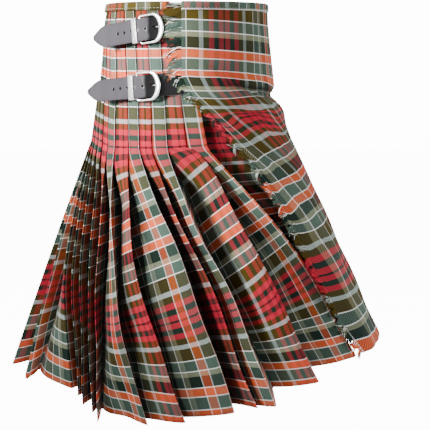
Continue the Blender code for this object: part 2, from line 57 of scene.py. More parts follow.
# ---------------------------------------------------------------- the body that the cloth keeps to
WAIST_TO_HEM = 0.585
FELL = 0.205                # height of the stitched part of the pleats
HEM_DEPTH = 0.560           # depth at which the hem ring's radii are given
FLARE_POWER = 0.97
CLOTH_TOP = 0.0016
CLOTH_WALL = 0.0010
SEAM_GAP = 0.0003
MM = 0.001
STEEPEST = 0.3              # least share of a step down the cloth that goes downwards
HALF_SETT = 0.1224          # pivot to pivot of the tartan, and the cloth in one pleat

#  depth, half width, half depth to the front, half depth to the back
BODY_RINGS: Table = (
    (0.000, 0.1500, 0.1180, 0.1205),
    (0.030, 0.1520, 0.1195, 0.1262),
    (0.065, 0.1550, 0.1232, 0.1288),
    (0.120, 0.1595, 0.1298, 0.1345),
    (0.145, 0.1630, 0.1315, 0.1400),
    (0.165, 0.1670, 0.1420, 0.1432),
    (0.205, 0.1760, 0.1575, 0.1492),
)
#  angle, radius at HEM_DEPTH
HEM_RING: Table = (
    (-170, 0.275), (-135, 0.273), (-104, 0.281), (-86, 0.286), (-72, 0.277), (-58, 0.279),
    (-40, 0.268), (-32, 0.277), (-25, 0.285), (-18, 0.269), (-11, 0.272), (0, 0.283),
    (14, 0.287), (24, 0.316), (41, 0.302), (52, 0.313), (61, 0.324), (75, 0.319),
    (90, 0.322), (104, 0.328), (130, 0.314), (160, 0.290),
)
#  angle at the waist, length from waist to hem
DROPS: Table = (
    (-175, 0.585), (-90, 0.588), (-72, 0.597), (-61, 0.608), (-52, 0.610), (-43, 0.604),
    (-33, 0.597), (-22, 0.592), (-9, 0.584),
    (20, 0.575), (90, 0.577), (150, 0.585),
)
#  outer creases from the fringed edge round the back to the over apron's turn: angle at the waist,
#  at the fell and at the hem, most degrees a crease runs ahead below the fell, and its haste
CREASES: Table = (
    (-1.0, 9.0, 56.0, 9.5, 1.0), (-9.0, -0.5, 39.5, 7.4, 0.55), (-16.3, -9.4, 22.3, 5.0, 1.3),
    (-23.5, -17.0, 19.0, 4.7, 1.0), (-33.0, -23.7, 12.8, 5.3, 1.0), (-42.5, -29.9, 0.0, -2.0, 0.8),
    (-53.0, -40.0, -11.3, -1.0, 0.6), (-62.5, -46.5, -25.5, 0.0, 1.0),
    (-71.0, -53.0, -28.5, 0.0, 1.0), (-79.0, -60.0, -32.5, 0.0, 1.0),
    (-87.0, -67.5, -35.5, 0.0, 1.0), (-95.0, -75.0, -39.5, 0.0, 1.0),
    (-102.5, -83.0, -61.5, 0.0, 1.0), (-110.0, -91.0, -82.0, 0.0, 1.0),
    (-117.5, -99.0, -96.0, 0.0, 1.0), (-125.0, -107.0, -106.0, 0.0, 1.0),
    (-132.0, -115.5, -116.0, 0.0, 1.0), (-139.0, -124.0, -126.0, 0.0, 1.0),
    (-146.0, -132.5, -136.5, 0.0, 1.0), (-152.5, -141.0, -147.0, 0.0, 1.0),
    (-159.0, -150.0, -158.5, 0.0, 1.0), (-165.5, -160.0, -171.0, 0.0, 1.0),
    (-172.0, -171.5, -184.0, 0.0, 1.0),
)
UNDER_START = (7.0, 18.5, 76.0, 9.5, 1.0)
#  how far each inner crease is folded back, half way down and at the hem, and the cloth's share
FOLDS: Table = (
    (0.62, 0.45, 1.0), (0.45, 0.45, 1.0), (0.40, 0.40, 1.0), (0.45, 0.45, 1.0), (0.45, 0.40, 1.0),
    (0.80, 0.95, 1.0), (0.55, 0.93, 1.0), (0.55, 0.85, 0.78), (0.45, 0.45, 1.0), (0.45, 0.45, 1.0),
    (0.45, 0.45, 1.0), (0.45, 0.45, 1.0), (0.45, 0.85, 1.0), (0.45, 0.60, 1.0), (0.45, 0.50, 1.0),
    (0.40, 0.35, 1.0), (0.45, 0.45, 1.0), (0.50, 0.55, 1.0), (0.45, 0.40, 1.0), (0.40, 0.35, 1.0),
    (0.45, 0.50, 1.0), (0.45, 0.45, 1.0), (0.40, 0.40, 1.0),
)
#  how each outer crease lies: face's bulge, return's bulge, softness at the hem, sway (mm, deg),
#  and how much cloth the face's small ripples take up
CREASE_MANNERS: Table = (
    (2.0, 3.0, 6.0, 0.6, 1.1), (3.0, 3.0, 7.0, 0.5, 1.12), (1.5, 3.0, 3.0, 0.6, 1.15),
    (-5.0, 4.0, 5.0, 0.7, 1.15), (3.0, 4.0, 7.0, 0.5, 1.2), (4.0, 4.0, 8.0, 0.8, 1.25),
    (3.0, 3.5, 8.0, 0.6, 1.3), (2.0, 3.0, 8.0, 0.5, 1.1), (1.5, 2.5, 4.0, 0.5, 1.1),
    (1.0, 2.0, 3.0, 0.4, 1.1), (1.0, 2.0, 3.0, 0.5, 1.1), (2.0, 3.0, 6.0, 0.6, 1.1),
    (3.5, 4.0, 8.0, 0.9, 1.1), (3.0, 4.0, 9.0, 0.7, 1.1), (2.5, 3.0, 7.0, 0.9, 1.1),
    (3.0, 4.0, 8.0, 0.6, 1.1), (2.0, 3.0, 7.0, 0.8, 1.1), (3.5, 4.0, 9.0, 0.7, 1.1),
    (2.5, 3.0, 7.0, 0.9, 1.1), (3.0, 4.0, 8.0, 0.6, 1.1), (2.0, 3.0, 7.0, 0.8, 1.1),
    (2.5, 3.0, 7.0, 0.7, 1.1), (2.0, 3.0, 6.0, 0.5, 1.1),
)
#  number from the fringed edge, shift across the tartan, painted light, the weft's slant (falling
#  away from the crease) and share of the gap's painted shade; the creases past the last are like it
ODD_CREASES: Table = (
    (0, 0.006, 1.05, 0.50, 0.85), (1, 0.0, 1.08, 0.50, 0.45), (2, 0.0, 1.0, 0.35, 0.85),
    (3, 0.0, 0.55, 0.25, 1.0), (4, 0.0, 1.0, 0.28, 1.0), (5, 0.0, 1.0, 0.30, 1.0),
    (6, 0.0, 0.95, 0.30, 1.0), (7, 0.0, 0.30, 0.15, 1.0), (8, -0.035, 0.20, 0.10, 1.0),
    (9, 0.0874, 0.80, 0.0, 1.0), (10, -0.035, 0.85, 0.0, 1.0), (11, 0.0874, 0.85, 0.0, 1.0),
    (12, -0.035, 1.0, 0.0, 1.0), (13, 0.0, 1.0, 0.0, 1.0),
)
#  the over apron's fringed edge: down the cloth, angle
APRON_EDGE: Table = (
    (0.000, -3.5), (0.100, -3.5), (0.128, 1.0), (0.165, 10.0), (0.209, 19.5), (0.268, 31.0),
    (0.338, 41.0), (0.412, 47.0), (0.511, 52.5), (0.585, 57.0),
)
UNDER_END: Table = ((0.0, 166.0), (0.235, 162.0), (0.585, 156.0))
#  how much higher the tartan's weft lies than the distance down the pleats
PLEAT_WEFT: Table = ((0.0, -0.0062), (0.10, -0.0075), (0.15, -0.0040), (0.205, 0.0))


def smooth(t: Array | float) -> Array | float:
    """Ease from 0 to 1."""
    t = np.clip(t, 0.0, 1.0)
    return t * t * (3 - 2 * t)


def between(t: Array, start: float, rise: float, end: float, fall: float) -> Array:
    """Ease from 0 to 1 past a start, and back to 0 past an end."""
    return smooth((t - start) / rise) * (1 - smooth((t - end) / fall))


def read(rows: Table, column: int, at: Array | float) -> Array | float:
    """Read a table.

    Args:
        rows: The table, its first column rising.
        column: Which column to read.
        at: Where in the first column.

    Returns:
        The column's value there.
    """
    return np.interp(at, [row[0] for row in rows], [row[column] for row in rows])


def read_across(table: Table, stops: Sequence[float], rows: Array,
                across: Array) -> Array:
    """Read a table whose rows run down the cloth and whose columns stand at stops across it."""
    lines = np.stack([read(table, 1 + i, rows) for i in range(len(stops))], axis=1)
    return np.stack([np.interp(across, stops, line) for line in lines])


def hem_radius(angle: Array) -> Array:
    """The skirt's radius at HEM_DEPTH, eased between the rows of HEM_RING."""
    angles = np.array([row[0] for row in HEM_RING] + [HEM_RING[0][0] + 360.0])
    radii = np.array([row[1] for row in HEM_RING] + [HEM_RING[0][1]])
    at = np.mod(angle - angles[0], 360.0) + angles[0]
    i = np.clip(np.searchsorted(angles, at, side="right") - 1, 0, len(HEM_RING) - 1)
    share = smooth((at - angles[i]) / (angles[i + 1] - angles[i]))
    return radii[i] + (radii[i + 1] - radii[i]) * share


def ring_radius(depth: Array, angle: Array) -> Array:
    """Radius of the ring that the pleats' creases lie on."""
    stitched = np.clip(depth, 0.0, FELL)
    c, s = np.cos(np.radians(angle)), np.sin(np.radians(angle))
    reach = np.where(s > 0, read(BODY_RINGS, 2, stitched), read(BODY_RINGS, 3, stitched))
    body = 1 / np.sqrt((c / read(BODY_RINGS, 1, stitched)) ** 2 + (s / reach) ** 2)
    share = (np.clip(depth - FELL, 0.0, None) / (HEM_DEPTH - FELL)) ** FLARE_POWER
    return body + (hem_radius(angle) - body) * share


def on_ring(depth: Array, angle: Array, lift: Array | float = 0.0) -> Array:
    """Points at a depth, an angle and a lift above the ring, as (..., 3)."""
    r = ring_radius(depth, angle) + lift
    turn = np.radians(angle)
    return np.stack([-r * np.cos(turn), -r * np.sin(turn), -depth + 0 * r], axis=-1)


def drop_share(angle: Array) -> Array:
    """How much longer than WAIST_TO_HEM the cloth hangs from a place on the waist."""
    return read(DROPS, 1, angle) / WAIST_TO_HEM


def fall(step: Array, aside: Array) -> Array:
    """How far down a step along the cloth goes when it also goes aside."""
    return np.sqrt(np.maximum(step**2 - aside**2, (STEEPEST * step) ** 2))


Lift = Callable[[int, Array, Array], Array]


def hang(rows: Array, angles: Array, lift: Lift) -> Array:
    """Let warp threads hang on the body, each step as long as the cloth's.

    Args:
        rows: Distances down the cloth.
        angles: Each thread's angle at each row, (rows, threads).
        lift: Lift above the ring from a row's number, the depths and the angles.

    Returns:
        The threads' points, (rows, threads, 3).
    """
    share = drop_share(angles[0])
    depth = np.full(angles.shape[1], CLOTH_TOP)
    points = [on_ring(depth, angles[0], lift(0, depth, angles[0]))]
    for i in range(1, len(rows)):
        step = (rows[i] - rows[i - 1]) * share
        drop = step.copy()
        for _ in range(8):
            now = on_ring(depth + drop, angles[i], lift(i, depth + drop, angles[i]))
            aside = np.hypot(now[:, 0] - points[-1][:, 0], now[:, 1] - points[-1][:, 1])
            drop = 0.5 * drop + 0.5 * fall(step, aside)
        depth = depth + drop
        points.append(on_ring(depth, angles[i], lift(i, depth, angles[i])))
    return np.stack(points)


def crease_angles(rows: Array, crease: Sequence[float]) -> Array:
    """An outer crease's angle at each distance down the cloth."""
    waist, fell, hem, swing, haste = crease
    share = np.clip((rows - FELL) / (WAIST_TO_HEM - FELL), 0.0, None)
    above = waist + (fell - waist) * rows / FELL
    below = fell + (hem - fell) * share + swing * np.sin(pi * share**haste)
    return np.where(rows <= FELL, above, below)


def beside(*parts: Array) -> Array:
    """Join grids side by side, and single columns of points among them."""
    return np.concatenate([part if part.ndim == 3 else part[:, None] for part in parts], axis=1)


def run_along(points: Array) -> Array:
    """Distance of each point along its row, (rows, columns)."""
    steps = np.linalg.norm(np.diff(points, axis=1), axis=2)
    return np.concatenate([np.zeros((len(points), 1)), np.cumsum(steps, axis=1)], axis=1)


def panel_rows(step: float) -> Array:
    """Distances down the cloth, about a step apart."""
    return np.linspace(0.0, WAIST_TO_HEM, round(WAIST_TO_HEM / step) + 1)


# ---------------------------------------------------------------- finishes
def linear(code: str) -> tuple[float, float, float, float]:
    """Turn an sRGB hex colour to a linear one."""
    parts = [int(code[i : i + 2], 16) / 255 for i in (1, 3, 5)]
    red, green, blue = (c / 12.92 if c <= 0.04045 else ((c + 0.055) / 1.055) ** 2.4 for c in parts)
    return red, green, blue, 1.0


def wire(tree: NodeTree, made: Node, settings: dict | None = None,
         links: dict | None = None) -> None:
    """Set a node up.

    Args:
        tree: The material's node tree.
        made: The node.
        settings: Attributes by name; values of sockets by number or name.
        links: What feeds a socket, by its number or name: a socket, or a node's first output.
    """
    for key, value in (settings or {}).items():
        if isinstance(key, int) or key in made.inputs:
            made.inputs[key].default_value = value
        else:
            setattr(made, key, value)
    for key, source in (links or {}).items():
        socket = source.outputs[0] if isinstance(source, Node) else source
        tree.links.new(socket, made.inputs[key])


def node(tree: NodeTree, kind: str, settings: dict | None = None,
         links: dict | None = None) -> Node:
    """Add a shader node of a kind and set it up."""
    made = tree.nodes.new("ShaderNode" + kind)
    wire(tree, made, settings, links)
    return made


def math_node(tree: NodeTree, operation: str, *terms: Node | NodeSocket | float) -> Node:
    """Add a math node on numbers, sockets and nodes."""
    numbers = {i: term for i, term in enumerate(terms) if isinstance(term, float)}
    links = {i: term for i, term in enumerate(terms) if i not in numbers}
    return node(tree, "Math", {"operation": operation, **numbers}, links)


def begin(name: str) -> tuple[Material, NodeTree, Node]:
    """Start a material: itself, its node tree and its shader."""
    made = bpy.data.materials.new(name)
    made.use_nodes = True
    return made, made.node_tree, made.node_tree.nodes["Principled BSDF"]


class Yarn(Enum):
    """Dyed yarns of the tartan."""

    BLACK = "#141315"
    RED = "#B42236"
    DARK_GREEN = "#16241E"
    OLIVE = "#40350F"
    LOVAT = "#A3AEAA"
    WHITE = "#FCFCF8"
    SAGE = "#485A50"
    GREY = "#7C8068"
    ORANGE = "#D85C35"


#  half a sett from the black pivot to the sage one: yarn, width in mm
HALF_SETT_STRIPES: tuple[tuple[Yarn, float], ...] = (
    (Yarn.BLACK, 1.0), (Yarn.RED, 8.5), (Yarn.DARK_GREEN, 8.0), (Yarn.RED, 8.0),
    (Yarn.OLIVE, 9.0), (Yarn.LOVAT, 7.0), (Yarn.OLIVE, 18.2), (Yarn.WHITE, 1.4),
    (Yarn.SAGE, 14.5), (Yarn.WHITE, 1.4), (Yarn.GREY, 7.3), (Yarn.DARK_GREEN, 15.9),
    (Yarn.WHITE, 1.4), (Yarn.ORANGE, 11.0), (Yarn.WHITE, 1.4), (Yarn.SAGE, 8.3),
)


@dataclass(frozen=True)
class Tartan:
    """Wool tartan in 2/2 twill: soft, matt, with a faint nap that catches light at the edges."""

    name: str = "tartan wool twill"
    twill_repeat: float = 0.0024     # four threads; the real 2.0 mm drawn a little coarser
    first_black: float = 0.2000      # a black pivot of the weft lies this far down
    roughness: float = 0.92
    weft_only: bool = False

    def stripes(self, tree: NodeTree, place: NodeSocket,
                shift: float) -> NodeSocket:
        """Colour of the yarn at a distance across the stripes.

        Args:
            tree: The node tree.
            place: Socket with the distance in metres.
            shift: Where a black pivot lies.

        Returns:
            The colour's socket.
        """
        moved = math_node(tree, "SUBTRACT", place, shift)
        folded = math_node(tree, "PINGPONG", moved, HALF_SETT)
        share = math_node(tree, "DIVIDE", folded, HALF_SETT)
        ramp = node(tree, "ValToRGB", {}, {0: share})
        ramp.color_ramp.interpolation = "CONSTANT"
        total = sum(width for _, width in HALF_SETT_STRIPES)
        start = 0.0
        for i, (yarn, width) in enumerate(HALF_SETT_STRIPES):
            stop = ramp.color_ramp.elements[i] if i < 2 else ramp.color_ramp.elements.new(start)
            stop.position = start / total
            stop.color = linear(yarn.value)
            start += width
        return ramp.outputs[0]

    def make(self) -> Material:
        """Build the material."""
        made, tree, shader = begin(self.name)
        cloth = node(tree, "UVMap", {"uv_map": "cloth"})
        place = node(tree, "SeparateXYZ", {}, {0: cloth})
        weft = self.stripes(tree, place.outputs[1], self.first_black)
        diagonal = math_node(tree, "ADD", place, place.outputs[1])
        turn = math_node(tree, "MULTIPLY", diagonal, 2 * pi / self.twill_repeat)
        wave = math_node(tree, "SINE", turn)
        over = math_node(tree, "MULTIPLY_ADD", wave, 0.34, 0.65)
        if self.weft_only:
            woven = weft
        else:
            warp = self.stripes(tree, place.outputs[0], 0.0)
            crossing = node(tree, "Mix", {"data_type": "RGBA"}, {0: over, 6: warp, 7: weft})
            woven = crossing.outputs[2]
        fibre = node(tree, "TexNoise", {"Scale": 900.0, "Detail": 3.0}, {0: cloth})
        cloudy = node(tree, "TexNoise", {"Scale": 26.0, "Detail": 2.0}, {0: cloth})
        shade = node(tree, "MapRange", {1: 0.25, 2: 0.75, 3: 0.62, 4: 1.28}, {0: fibre})
        patch = node(tree, "MapRange", {1: 0.3, 2: 0.7, 3: 0.93, 4: 1.07}, {0: cloudy})
        both = math_node(tree, "MULTIPLY", shade, patch)
        if not self.weft_only:
            # Painted shade: the fold attribute darkens the colour down in the folds, under edges
            # and in the gaps between pleats.
            fold = node(tree, "Attribute", {"attribute_name": "fold"})
            both = math_node(tree, "MULTIPLY", both, fold.outputs["Fac"])
        dyed = node(tree, "VectorMath", {"operation": "SCALE"}, {0: woven, "Scale": both})
        height = math_node(tree, "ADD", over, fibre)
        bump = node(tree, "Bump", {"Strength": 0.35, "Distance": 0.0005}, {"Height": height})
        wire(tree, shader, {"Roughness": self.roughness, "Specular IOR Level": 0.08,
                            "Sheen Weight": 0.03, "Sheen Roughness": 0.5},
             {"Base Color": dyed, "Normal": bump})
        return made


@dataclass(frozen=True)
class BridleLeather:
    """Black bridle leather, with a painted grey sheen on the free end; black through the buckle."""

    name: str = "black bridle leather"
    colour: str = "#060507"
    painted_sheen_colour: str = "#343136"
    roughness: float = 0.30
    free_end_roughness: float = 0.62
    painted_sheen_ends: tuple[float, float] = (0.010, 0.016)   # forward of the buckle's bar
    hole_places: tuple[float, float] = (0.0225, 0.0118)
    last_hole: float = -0.043
    painted_hole_shade_ring: tuple[float, float] = (0.0022, 0.0030)   # round a punched hole
    grain: float = 1400.0            # cells of about 0.7 mm
    shine: float = 0.19

    def make(self) -> Material:
        """Build the material."""
        made, tree, shader = begin(self.name)
        place = node(tree, "TexCoord")
        pebbles = node(tree, "TexVoronoi", {"Scale": self.grain}, {0: place.outputs["Object"]})
        rubbed = node(tree, "TexNoise", {"Scale": 60.0, "Detail": 4.0},
                      {0: place.outputs["Object"]})
        along = node(tree, "SeparateXYZ", {},
                     {0: node(tree, "UVMap", {"uv_map": "cloth"}).outputs[0]})
        # Painted sheen: grey is painted on the free end, where light catches the strap; it stays
        # black where it bends down through the buckle.
        uneven = math_node(tree, "MULTIPLY_ADD", rubbed, 0.012, -0.006)
        edge = math_node(tree, "ADD", along, uneven)
        painted_sheen = node(tree, "MapRange",
                       {1: self.painted_sheen_ends[0], 2: self.painted_sheen_ends[1], 3: 1.0, 4: 0.0},
                       {0: edge})
        # Painted shade round each punched hole: the painted sheen is taken off there, so the hole
        # reads dark.
        past = math_node(tree, "SUBTRACT", along, self.hole_places[0])
        near = math_node(tree, "PINGPONG", past, self.hole_places[1] / 2)
        spot = node(tree, "CombineXYZ", {}, {0: near, 1: along.outputs[1]})
        away = node(tree, "VectorMath", {"operation": "LENGTH"}, {0: spot})
        hole_shade = node(tree, "MapRange", {1: self.painted_hole_shade_ring[0], 2: self.painted_hole_shade_ring[1]},
                     {0: away.outputs["Value"]})
        holed = math_node(tree, "GREATER_THAN", along, self.last_hole)
        sheen_off_at_holes = node(tree, "Mix", {"data_type": "FLOAT", 2: 1.0}, {0: holed, 3: hole_shade})
        painted_sheen = math_node(tree, "MULTIPLY", painted_sheen, sheen_off_at_holes)
        tone = node(tree, "Mix",
                    {"data_type": "RGBA", 6: linear(self.colour), 7: linear(self.painted_sheen_colour)},
                    {0: painted_sheen})
        gloss = node(tree, "MapRange", {3: self.roughness, 4: self.free_end_roughness}, {0: painted_sheen})
        bump = node(tree, "Bump", {"Strength": 0.12, "Distance": 0.0002}, {"Height": pebbles})
        wire(tree, shader, {"Specular IOR Level": self.shine},
             {"Base Color": tone.outputs[2], "Roughness": gloss, "Normal": bump})
        return made


@dataclass(frozen=True)
class ChromePlate:
    """Chromium plate on cast brass: bright, cool, with faint polishing marks."""

    name: str = "chrome plate"
    colour: str = "#F6F6F7"
    roughness: float = 0.14

    def make(self) -> Material:
        """Build the material."""
        made, tree, shader = begin(self.name)
        place = node(tree, "TexCoord")
        marks = node(tree, "TexNoise", {"Scale": 500.0, "Detail": 2.0},
                     {0: place.outputs["Object"]})
        gloss = node(tree, "MapRange",
                     {1: 0.3, 2: 0.7, 3: self.roughness * 0.7, 4: self.roughness * 1.6}, {0: marks})
        wire(tree, shader, {"Base Color": linear(self.colour), "Metallic": 1.0},
             {"Roughness": gloss})
        return made


@dataclass(frozen=True)
class SewingThread:
    """Waxed sewing thread: round, matt, slightly uneven."""

    name: str = "sewing thread"
    colour: str = "#8F9A86"

    def make(self) -> Material:
        """Build the material."""
        made, tree, shader = begin(self.name)
        place = node(tree, "TexCoord")
        twist = node(tree, "TexNoise", {"Scale": 1200.0}, {0: place.outputs["Object"]})
        tone = node(tree, "MapRange", {1: 0.3, 2: 0.7, 3: 0.75, 4: 1.1}, {0: twist})
        dyed = node(tree, "VectorMath", {"operation": "SCALE", 0: linear(self.colour)[:3]},
                    {"Scale": tone})
        wire(tree, shader, {"Roughness": 0.8}, {"Base Color": dyed})
        return made


# ---------------------------------------------------------------- cloth as a mesh
def add(name: str, data: ID) -> Object:
    """Add an object to the scene."""
    thing = bpy.data.objects.new(name, data)
    bpy.context.scene.collection.objects.link(thing)
    return thing


def new_piece(name: str, verts: Sequence[Sequence[float]], faces: Sequence[Sequence[int]],
              finish: Material) -> Object:
    """Make a piece of one material from its points and faces."""
    mesh = bpy.data.meshes.new(name)
    mesh.from_pydata([tuple(v) for v in verts], [], faces)
    mesh.materials.append(finish)
    return add(name, mesh)


def mark_places(mesh: Mesh, places: Array) -> None:
    """Note each point's place on the cloth, (points, 2), as the mesh's UV."""
    layer = mesh.uv_layers.new(name="cloth")
    order = np.empty(len(mesh.loops), dtype=np.int32)
    mesh.loops.foreach_get("vertex_index", order)
    layer.data.foreach_set("uv", places[order].astype(np.float32).ravel())


def cloth_mesh(name: str, points: Array, places: Array, finish: Material,
               wall: float = CLOTH_WALL, open_light: Array | None = None) -> Object:
    """Make a shell of cloth from a grid.

    Args:
        name: The piece's name.
        points: The grid's points, (rows, columns, 3).
        places: Their places on the cloth, (rows, columns, 2).
        finish: The material.
        wall: The cloth's thickness.
        open_light: Painted light and shade multiplied into the colour, 1 on a crease and less down
            in a fold.

    Returns:
        The piece, its wall applied.
    """
    rows, columns = points.shape[:2]
    at = np.arange(rows * columns).reshape(rows, columns)
    corners = np.stack([at[:-1, :-1], at[1:, :-1], at[1:, 1:], at[:-1, 1:]], axis=-1)
    piece = new_piece(name, points.reshape(-1, 3).tolist(), corners.reshape(-1, 4).tolist(), finish)
    mesh = piece.data
    mark_places(mesh, places.reshape(-1, 2))
    mesh.polygons.foreach_set("use_smooth", [True] * len(mesh.polygons))
    if open_light is None:
        open_light = np.ones((rows, columns))
    mesh.attributes.new("fold", "FLOAT", "POINT").data.foreach_set(
        "value", open_light.astype(np.float32).ravel())
    thicken = piece.modifiers.new("Wall", "SOLIDIFY")
    thicken.thickness = wall
    thicken.offset = 0.0
    apply_modifiers(piece)
    return piece


def select_only(piece: Object) -> None:
    """Deselect all and make one piece active."""
    bpy.ops.object.select_all(action="DESELECT")
    piece.select_set(True)
    bpy.context.view_layer.objects.active = piece


def apply_modifiers(piece: Object) -> None:
    """Apply a piece's modifiers in order."""
    select_only(piece)
    for modifier in list(piece.modifiers):
        bpy.ops.object.modifier_apply(modifier=modifier.name)


def recalculate(mesh: Mesh) -> None:
    """Turn a closed mesh's faces outwards."""
    work = bmesh.new()
    work.from_mesh(mesh)
    bmesh.ops.recalc_face_normals(work, faces=work.faces)
    work.to_mesh(mesh)
    work.free()


def smooth_at(piece: Object, limit: float) -> None:
    """Shade a piece smooth, but for edges sharper than a limit in degrees."""
    select_only(piece)
    bpy.ops.object.shade_smooth_by_angle(angle=radians(limit))


def cut(piece: Object, cutter: Object) -> None:
    """Take a cutter's shape out of a piece, and the cutter out of the scene."""
    hole = piece.modifiers.new("Hole", "BOOLEAN")
    hole.object = cutter
    apply_modifiers(piece)
    bpy.data.objects.remove(cutter)


def tube_faces(sides: int, count: int, closed: bool) -> list[tuple[int, ...]]:
    """Faces of a tube of rings of points.

    Args:
        sides: Points in a ring.
        count: Number of rings.
        closed: Whether the last ring joins the first; both ends are capped where it doesn't.

    Returns:
        The faces.
    """
    faces = []
    for i in range(count if closed else count - 1):
        near, far = i * sides, (i + 1) % count * sides
        for s in range(sides):
            t = (s + 1) % sides
            faces.append((near + s, near + t, far + t, far + s))
    if not closed:
        faces.append(tuple(reversed(range(sides))))
        faces.append(tuple((count - 1) * sides + s for s in range(sides)))
    return faces


def metal(name: str, rings: Sequence[Vector], sides: int, closed: bool,
          finish: Material) -> Object:
    """Make a cast or bent piece from rings of points."""
    piece = new_piece(name, rings, tube_faces(sides, len(rings) // sides, closed), finish)
    recalculate(piece.data)
    smooth_at(piece, 40)
    return piece


def declare(piece: Object, nodes: Sequence[str] = ()) -> Object:
    """Ride a piece on the kilt, hide the nodes it stands for, and report it."""
    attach(piece, "root")
    if nodes:
        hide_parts(*nodes)
    log.info("%s: %d faces", piece.name, len(piece.data.polygons))
    return piece


# ---------------------------------------------------------------- pleats
@dataclass
class Pleats:
    """The pleated cloth: knife pleats stitched to the fell, swinging open to the hem."""

    cut_cloth: float = 0.080        # cloth in a pleat above the fell
    cloth: float = 0.123
    opening: float = 0.090          # the folds reach full depth this far below the fell
    half_way: float = 0.300
    closed_share: float = 0.964
    crease: float = 0.0014          # softness of a pressed crease
    first_place: float = 0.009      # the fringed edge's neighbour is creased this far past black
    face_points: int = 12
    return_points: int = 8
    turn_points: int = 7
    row_step: float = 0.0078
    back_seam: int = 8
    step_share: float = 0.13        # how much of a fold's depth shows as a step above the fell
    # painted shade: faces darker towards their valleys, returns towards their inner creases, and
    # cloth under a neighbour's edge above the fell
    painted_face_shade: float = 0.72
    painted_return_shade: float = 0.75
    painted_edge_shade: float = 0.6
    valley: float = 0.0012          # softness of an inner crease above the fell
    open_valley: float = 0.004      # and what the hem's adds to it
    plan_share: float = 0.95        # radius halfway into a fold, as a share of the ring's
    slanting: tuple[float, ...] = (0.185, 0.07, 0.43, 0.13)   # where the weft slants
    rows: Array = field(init=False)
    points: Array = field(init=False)
    places: Array = field(init=False)
    light: Array = field(init=False)

    def __post_init__(self) -> None:
        """Lay the cloth out, from the over apron's turn round the back to the under apron."""
        self.rows = panel_rows(self.row_step)
        outer_angles = self.outer_angles()
        outer = hang(self.rows, outer_angles, lambda i, depth, angle: np.zeros_like(angle))
        valleys = self.valleys(outer, outer_angles)
        self.lay(outer_angles, -outer[..., 2], valleys)

    def outer_angles(self) -> Array:
        """Angles of the outer creases, (rows, creases), left hip first."""
        angles = []
        count = len(CREASES)
        for k, crease in enumerate(reversed((UNDER_START,) + tuple(CREASES))):
            sway = CREASE_MANNERS[max(count - 1 - k, 0)][3]
            below = smooth((self.rows - FELL) / 0.12)
            below = below * (1 - 0.6 * smooth((self.rows - 0.45) / 0.13))
            wave = np.sin(self.rows * 2 * pi / (0.23 + 0.05 * sin(k * 2.4)) + k * 1.9)
            angles.append(crease_angles(self.rows, crease) + sway * wave * below)
        return np.stack(angles, axis=1)

    def valleys(self, outer: Array, angles: Array) -> tuple[Array, ...]:
        """Angle, sink and depth of the inner creases between the outer ones."""
        opened = smooth((self.rows - FELL) / self.opening)[:, None]
        half_way, at_hem, free = np.array(list(reversed(FOLDS))).T
        cloth = self.cut_cloth + (self.cloth - self.cut_cloth) * opened
        past = (self.rows[:, None] - self.half_way) / self.half_way
        cloth = cloth * (1 + (free - 1) * smooth(past))
        lower = np.clip((self.rows - self.half_way) / (WAIST_TO_HEM - self.half_way), 0, 1)[:, None]
        hanging = half_way + (at_hem - half_way) * lower
        share = self.closed_share + (hanging - self.closed_share) * opened
        pitch = np.hypot(*(outer[:, 1:, i] - outer[:, :-1, i] for i in (0, 1)))
        sink = np.sqrt(np.maximum(cloth**2 - pitch**2, 1e-8)) / 2 * np.sqrt(1 - share**2)
        middle = (angles[:, :-1] + angles[:, 1:]) / 2
        depth = -(outer[:, :-1, 2] + outer[:, 1:, 2]) / 2
        radius = ring_radius(depth, middle) - sink / 2
        angle = middle - np.degrees(cloth * share / 2 / radius)
        plan = on_ring(depth, angle, -sink)
        step = np.diff(self.rows)[:, None] * drop_share(angles[0, :-1])
        aside = np.hypot(*(np.diff(plan[..., i], axis=0) for i in (0, 1)))
        hung = np.cumsum(np.vstack([np.zeros((1, plan.shape[1])), fall(step, aside)]), axis=0)
        return angle, -sink, CLOTH_TOP + hung

    def lay(self, angles: Array, depths: Array, valleys: tuple[Array, ...]) -> None:
        """Fill points, places and painted light with the faces, turns and returns of every pleat.

        Args:
            angles: The outer creases' angles, (rows, creases).
            depths: Their depths.
            valleys: The inner creases' angles, lifts and depths, (rows, pleats).
        """
        none = np.zeros(len(self.rows))
        opened = smooth((self.rows - FELL) / self.opening)
        slanting = between(self.rows, *self.slanting)
        at_hem = smooth((self.rows - FELL - 0.03) / 0.30)
        columns = []

        def turn(first: Array, corner: Array, last: Array, count: int,
                 place: Array, width: Array, light: Array) -> None:
            """Round a crease off from a point before its corner to one after it."""
            for t in np.linspace(0, 1, count)[1:-1]:
                point = (1 - t) ** 2 * first + 2 * t * (1 - t) * corner + t * t * last
                columns.append((point, place + (2 * t - 1) * width, light, none))

        before = np.stack([angles[:, 0] - 10, none + 0.0006, depths[:, 0]])
        for k in range(len(CREASES)):
            number = len(CREASES) - 1 - k
            shift, painted_crease_light, slant, gap = (read(ODD_CREASES, i, number) for i in (1, 2, 3, 4))
            face_bulge, return_bulge, hem_softness = (v * MM for v in CREASE_MANNERS[number][:3])
            take_up = CREASE_MANNERS[number][4]
            out, ahead = (np.stack([angles[:, j], none, depths[:, j]]) for j in (k, k + 1))
            dip = np.stack([part[:, k] for part in valleys])
            radius = ring_radius(depths[:, k], angles[:, k]) * self.plan_share
            face, back = (np.hypot(np.radians(end[0] - out[0]) * radius, end[1] - out[1])
                          for end in (before, dip))
